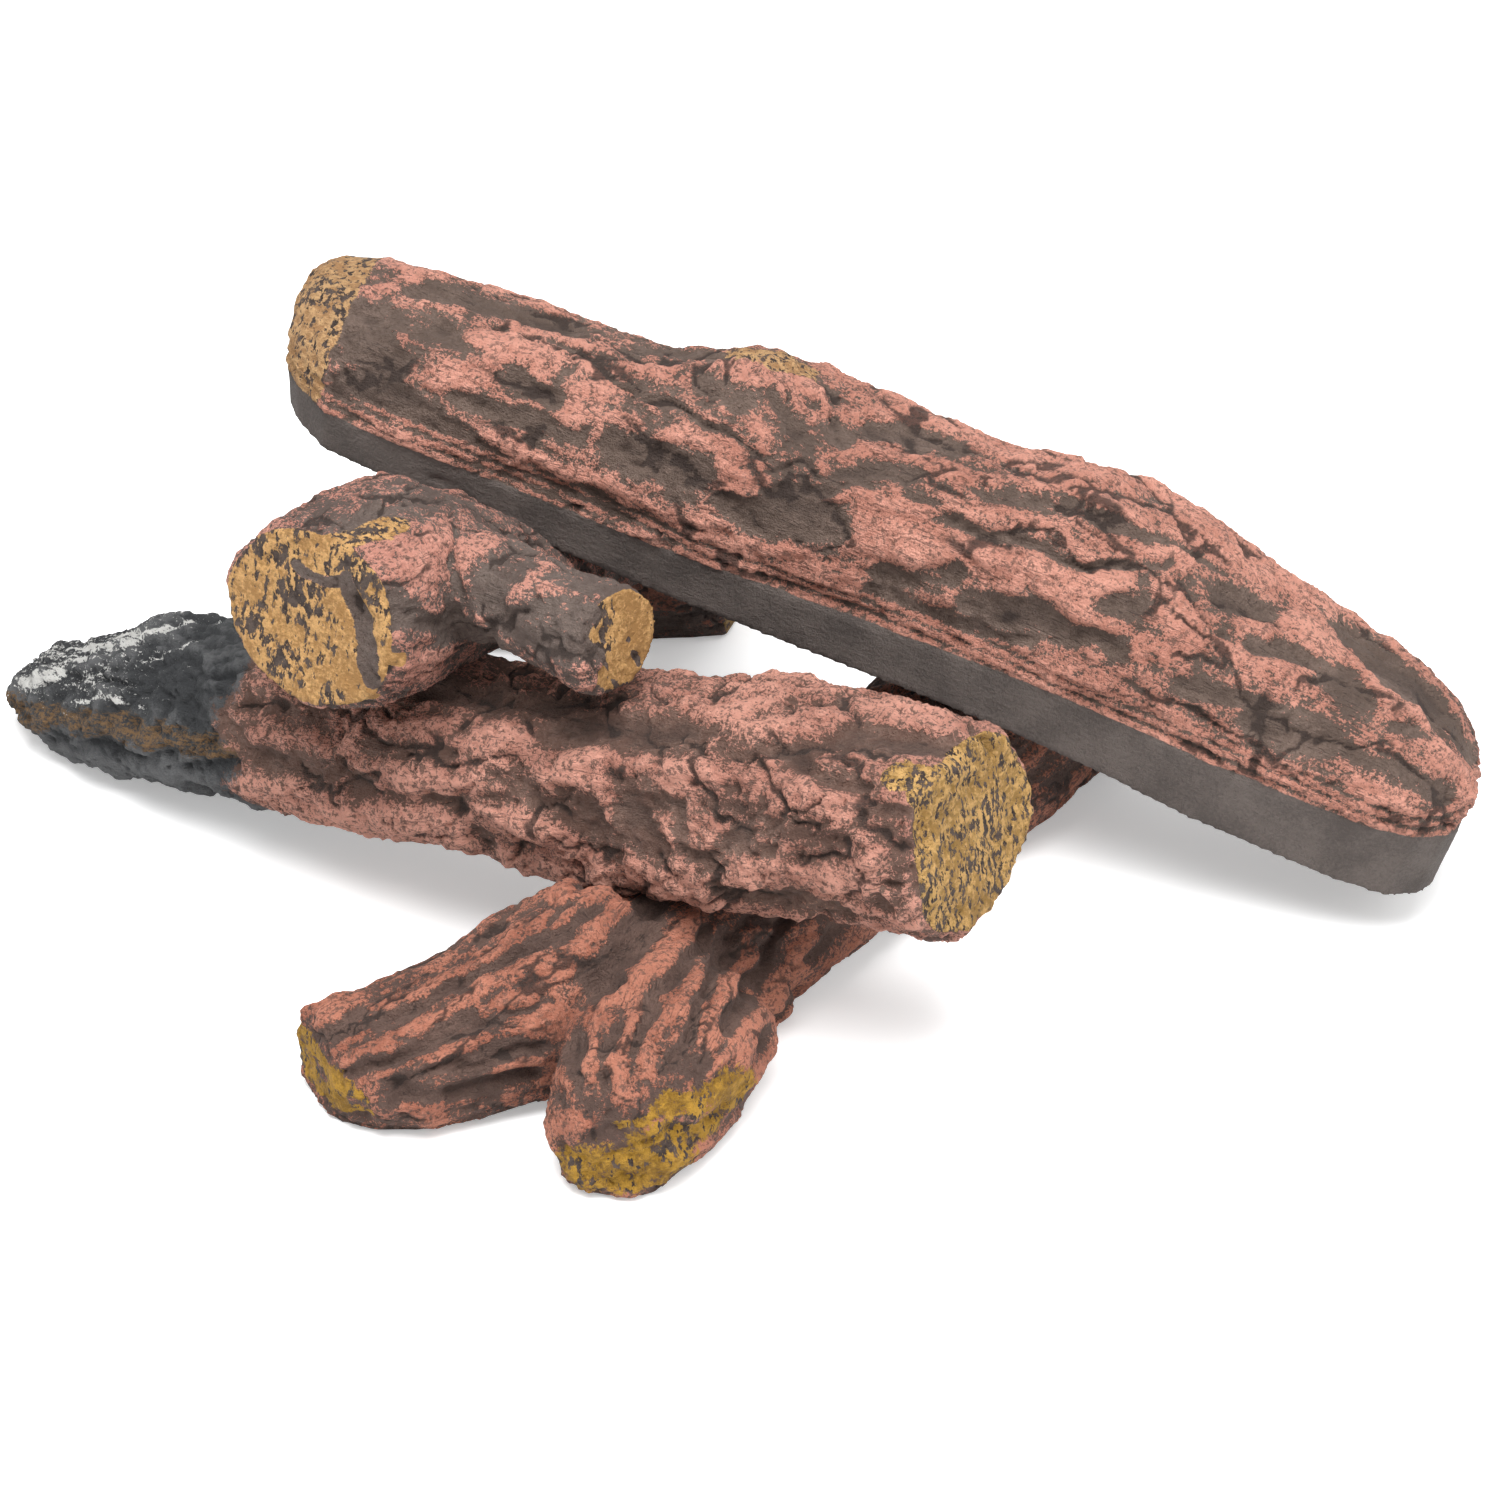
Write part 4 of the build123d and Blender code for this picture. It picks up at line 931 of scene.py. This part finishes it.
forkLog = {
    "node": "fork_log", "body": "base", "piece": "forkLogBark",
    "slot": "grooved_bark", "paint": "groovedBark",
    "grain": 0.0014,
    "limbs": [
        {
            "place": (-38, -199), "rise": 0, "yaw": 51.5, "pitch": 0,
            "length": 270, "middle": 30, "radius": 40,
        },
        {
            "place": (0, -173), "rise": 0, "yaw": 208.8, "pitch": 0,
            "length": 173, "middle": 28, "radius": 35,
        },
        {
            "place": (-31, -208), "rise": 0, "yaw": 261, "pitch": 0,
            "length": 96, "middle": 26, "radius": 30,
        },
    ],
    "bark": {
        "Lump Length": 80, "Lump Width": 24, "Lump Depth": 1.2,
        "Groove Length": 75, "Groove Width": 8.5, "Groove Depth": 1.9, "Groove Lean": 0.0,
        "Plate Length": 60, "Plate Width": 12, "Crevice Depth": 0.5,
        "Pit Size": 5, "Pit Depth": 0.4, "Grit Depth": 0.28, "Seed": 23.0,
    },
    "look": {
        "ridge": (0.38, 0.128, 0.076, 1), "ridgePale": (0.60, 0.235, 0.150, 1),
        "paintedGlint": (0.72, 0.36, 0.26, 1),
        "ground": (0.112, 0.066, 0.052, 1), "groundPale": (0.190, 0.114, 0.089, 1),
        "ochre": (0.30, 0.155, 0.015, 1), "ochrePale": (0.55, 0.30, 0.034, 1),
        "cover": 0.02, "soft": 0.55, "mottle": 4.0, "speckle": 5.5, "dirt": 0.8, "web": 0.4,
        "stippleSize": 0.0032, "stippleAt": 0.54, "stippleClumps": 0.45, "seed": 29.0,
    },
    "prongRun": (130, 145), "ochreGains": (0.75, 0.62), "calm": 0.7,
    # a stroke in millimetres that rounds the notch between the prongs
    "fillet": [(7, -230, 23, 10, -208, 12, 26, 4.5)],
    "stemStrokes": [
        (569, 965, 622, 904, 24, 2.2), (610, 1004, 669, 953, 14, 2.2), (584, 1091, 596, 1044, 12, 2),
        (616, 1095, 632, 1016, 10, 2), (646, 1076, 656, 1028, 16, 2.2), (654, 1024, 691, 973, 19, 2.2),
        (695, 1032, 727, 985, 21, 2.2), (727, 985, 754, 953, 21, 2.2), (719, 1060, 751, 1032, 17, 1.8),
        (754, 1028, 812, 935, 14, 2), (747, 1084, 794, 1000, 10, 1.8), (794, 1000, 857, 939, 10, 1.8),
        (669, 943, 695, 915, 28, 1.8), (533, 1018, 592, 1028, 24, 1.6), (507, 943, 559, 917, 17, 1.8),
        (735, 1068, 770, 1020, 6, 1.4), (675, 1012, 687, 989, 12, 1), (602, 1076, 616, 1028, 10, -3.4),
        (636, 1056, 660, 989, 12, -3.6), (660, 989, 707, 933, 12, -3.4), (675, 1060, 703, 997, 13, -3.8),
        (703, 997, 735, 937, 13, -3.8), (727, 1028, 762, 961, 16, -3.8), (762, 961, 786, 917, 13, -3.4),
        (758, 1040, 790, 989, 10, -3), (624, 957, 648, 906, 32, -3.2), (573, 961, 608, 989, 28, -2.4),
        (533, 949, 596, 906, 10, -2.6), (806, 961, 841, 929, 8, -2.4), (573, 1036, 581, 1091, 16, -2),
        (699, 1076, 723, 1044, 12, -2), (566, 892, 596, 892, 16, 3), (585, 885, 548, 920, 7, -2.6),
        (548, 930, 505, 962, 7, -2.6), (522, 903, 482, 943, 6, -2.6), (548, 912, 528, 930, 8, 1.8),
    ],
    "prongStrokes": [
        (345, 1062, 414, 1026, 14, 2.2), (414, 1026, 486, 987, 13, 2.2), (474, 1016, 533, 989, 17, 2.2),
        (533, 989, 573, 967, 17, 2), (410, 1000, 501, 951, 10, 1.6), (320, 1028, 410, 993, 10, 1.2),
        (410, 1060, 478, 1040, 11, 1.6), (478, 1040, 537, 1026, 11, 1.6), (494, 1072, 537, 1060, 10, 1.8),
        (537, 1060, 563, 1084, 10, 1.6), (403, 1103, 438, 1127, 13, 1.6), (438, 1109, 474, 1095, 10, 1.4),
        (430, 969, 501, 945, 6, 1.2), (351, 1072, 414, 1048, 13, -3), (414, 1048, 470, 1016, 13, -3.2),
        (470, 1028, 533, 1004, 8, -2.4), (379, 1016, 454, 985, 9, -2.6), (454, 985, 525, 953, 9, -2.6),
        (399, 1084, 462, 1060, 12, -2.8), (462, 1068, 537, 1048, 13, -3.2), (450, 1097, 537, 1070, 13, -3),
        (379, 1103, 407, 1091, 12, -2.2), (316, 1040, 351, 1028, 12, -1.8), (501, 1123, 533, 1099, 5.5, -1),
        (306, 1014, 345, 992, 9, 2), (322, 1034, 358, 1012, 9, -2.6), (332, 1052, 372, 1030, 8, 2),
        (342, 1070, 380, 1050, 8, -2.4), (358, 1086, 392, 1070, 8, 1.8),
    ],
    "toeStrokes": [
        (636, 1143, 699, 1123, 9, -2.2), (628, 1155, 675, 1143, 8, -2.2), (675, 1143, 727, 1107, 8, -2.2),
        (620, 1174, 644, 1178, 10, -2), (557, 1123, 596, 1123, 24, 1.2), (652, 1131, 715, 1095, 16, 1.4),
        (596, 1171, 628, 1147, 8, -1.4), (660, 1171, 707, 1147, 12, 1.2), (584, 1174, 612, 1182, 6, -1.6),
        (565, 1147, 581, 1163, 9, -1.4),
    ],
    "prongOchre": [
        (299, 1022, 309, 1042, 13, 1), (309, 1042, 326, 1066, 15, 1), (326, 1066, 347, 1088, 15, 1),
        (347, 1088, 368, 1103, 11, 1), (303, 1052, 318, 1082, 16, 1), (318, 1082, 345, 1104, 16, 1),
        (345, 1104, 370, 1113, 12, 1),
    ],
    "toeOchre": [
        (668, 1107, 739, 1091, 40, 1), (636, 1139, 715, 1123, 32, 1), (577, 1171, 675, 1163, 55, 1),
        (620, 1127, 660, 1115, 16, 1),
    ],
}


def dressFork(skin):
    prongGain, toeGain = forkLog["ochreGains"]
    cut = prongGain * skin.patch(forkLog["prongOchre"])
    cut = cut * smooth(skin.local[1][:, 0], *forkLog["prongRun"]) * skin.shares[1]
    tip = toeGain * skin.patch(forkLog["toeOchre"])
    laid = skin.carvedAndBrushed(forkLog["stemStrokes"], forkLog["prongStrokes"], forkLog["toeStrokes"])
    laid["carved"] += strokes(skin.points, forkLog["fillet"])
    return {"ochre": np.maximum(cut, tip), "calm": cut * forkLog["calm"], **laid}


makeLog(forkLog, dressFork)


rearLog = {
    "node": "rear_log", "body": "base", "piece": "rearLogBark",
    "slot": "dark_bark", "paint": "darkBark",
    "grain": 0.0011,
    "limbs": [
        {
            "place": (-153, 106), "rise": 0, "yaw": 3, "pitch": 0,
            "length": 147, "middle": 28, "radius": 32,
        },
    ],
    "bark": {
        "Lump Length": 50, "Lump Width": 22, "Lump Depth": 2.0,
        "Groove Length": 40, "Groove Width": 10, "Groove Depth": 1.5, "Groove Lean": 0.0,
        "Plate Length": 34, "Plate Width": 13, "Crevice Depth": 1.2,
        "Pit Size": 5, "Pit Depth": 0.6, "Grit Depth": 0.5, "Seed": 31.0,
    },
    "look": {
        "ridge": (0.25, 0.090, 0.060, 1), "ridgePale": (0.36, 0.150, 0.100, 1),
        "paintedGlint": (0.45, 0.22, 0.16, 1),
        "ground": (0.095, 0.064, 0.052, 1), "groundPale": (0.165, 0.117, 0.097, 1),
        "ochre": (0.30, 0.175, 0.060, 1), "ochrePale": (0.44, 0.27, 0.10, 1),
        "cover": 0.25, "soft": 0.5, "mottle": 5.0, "speckle": 5.0, "dirt": 0.8, "web": 0.6,
        "stippleSize": 0.0028, "stippleAt": 0.52, "stippleClumps": 0.25, "seed": 37.0,
    },
    "endFacing": (0.55, 0.8), "endShare": (0.42, 0.46), "calm": 0.6,
}


def dressRear(skin):
    fromMiddle = np.abs(skin.local[0][:, 0] / skin.limbs[0].length - 0.5)
    ends = smooth(np.abs(skin.facing(0)), *rearLog["endFacing"]) * smooth(fromMiddle, *rearLog["endShare"])
    return {"ochre": ends, "calm": ends * rearLog["calm"]}


makeLog(rearLog, dressRear)


studio = {
    "floorSize": 12.0, "floorDrop": 0.0002, "floorGrey": (0.88, 0.88, 0.88, 1), "white": (1, 1, 1, 1),
    "floorLift": 0.33, "sky": 0.66, "skySeen": 0.34,
    "lamps": {  # place, size and power
        "keyBox": ((0.0, -0.6, 1.95), (1.5, 1.5), 77),
        "fillBox": ((1.4, -1.0, 1.3), (1.4, 1.0), 10),
    },
}


def seenPlainly(net):
    # 1 where the camera, a gloss or a glass looks at it, and 0 where it only lights
    path = net.put("ShaderNodeLightPath").outputs
    return net.most(path["Is Camera Ray"], net.most(path["Is Glossy Ray"], path["Is Transmission Ray"]))


def floorPaint():
    made = bpy.data.materials.new("paleFloor")
    made.use_nodes = True
    made.node_tree.nodes.clear()
    net = Net(made.node_tree)
    lift = net.times(seenPlainly(net), studio["floorLift"])
    matt = net.put("ShaderNodeBsdfDiffuse", None, {"Color": studio["floorGrey"]})
    glow = net.put("ShaderNodeEmission", None, {"Color": studio["white"], "Strength": lift})
    both = net.put("ShaderNodeAddShader", None, {0: matt.outputs[0], 1: glow.outputs[0]})
    net.put("ShaderNodeOutputMaterial", None, {"Surface": both.outputs[0]})
    return made


def layFloor():
    mesh = bpy.data.meshes.new("floor")
    half = studio["floorSize"] / 2
    corners = [(-half, -half, 0), (half, -half, 0), (half, half, 0), (-half, half, 0)]
    mesh.from_pydata(corners, [], [(0, 1, 2, 3)])
    mesh.materials.append(floorPaint())
    floor = bpy.data.objects.new("floor", mesh)
    bpy.context.scene.collection.objects.link(floor)
    floor.location.z = -studio["floorDrop"]
    print("floor laid")


def lightSky():
    world = bpy.data.worlds.new("studio")
    bpy.context.scene.world = world
    world.use_nodes = True
    world.node_tree.nodes.clear()
    net = Net(world.node_tree)
    strength = net.mix(studio["sky"], (seenPlainly(net), studio["skySeen"]))
    back = net.put("ShaderNodeBackground", None, {"Color": studio["white"], "Strength": strength})
    net.put("ShaderNodeOutputWorld", None, {"Surface": back.outputs[0]})


def hangLamps():
    for name, (place, size, power) in studio["lamps"].items():
        lamp = bpy.data.lights.new(name, "AREA")
        lamp.shape = "RECTANGLE"
        lamp.size, lamp.size_y = size
        lamp.energy = power
        held = bpy.data.objects.new(name, lamp)
        bpy.context.scene.collection.objects.link(held)
        held.location = place
        held.rotation_euler = (aim - Vector(place)).to_track_quat("-Z", "Y").to_euler()
    print("lamps hung")


def placeCamera():
    lens = bpy.data.cameras.new("photoCamera")
    lens.sensor_width = photoView["sensor"]
    lens.lens = photoView["lens"]
    lens.clip_end = photoView["clip"]
    camera = bpy.data.objects.new("photoCamera", lens)
    bpy.context.scene.collection.objects.link(camera)
    camera.location = eye
    camera.rotation_euler = gaze.to_euler()
    bpy.context.scene.camera = camera
    print("camera placed")


layFloor()
lightSky()
hangLamps()
placeCamera()
bpy.context.scene.view_settings.view_transform = "Standard"
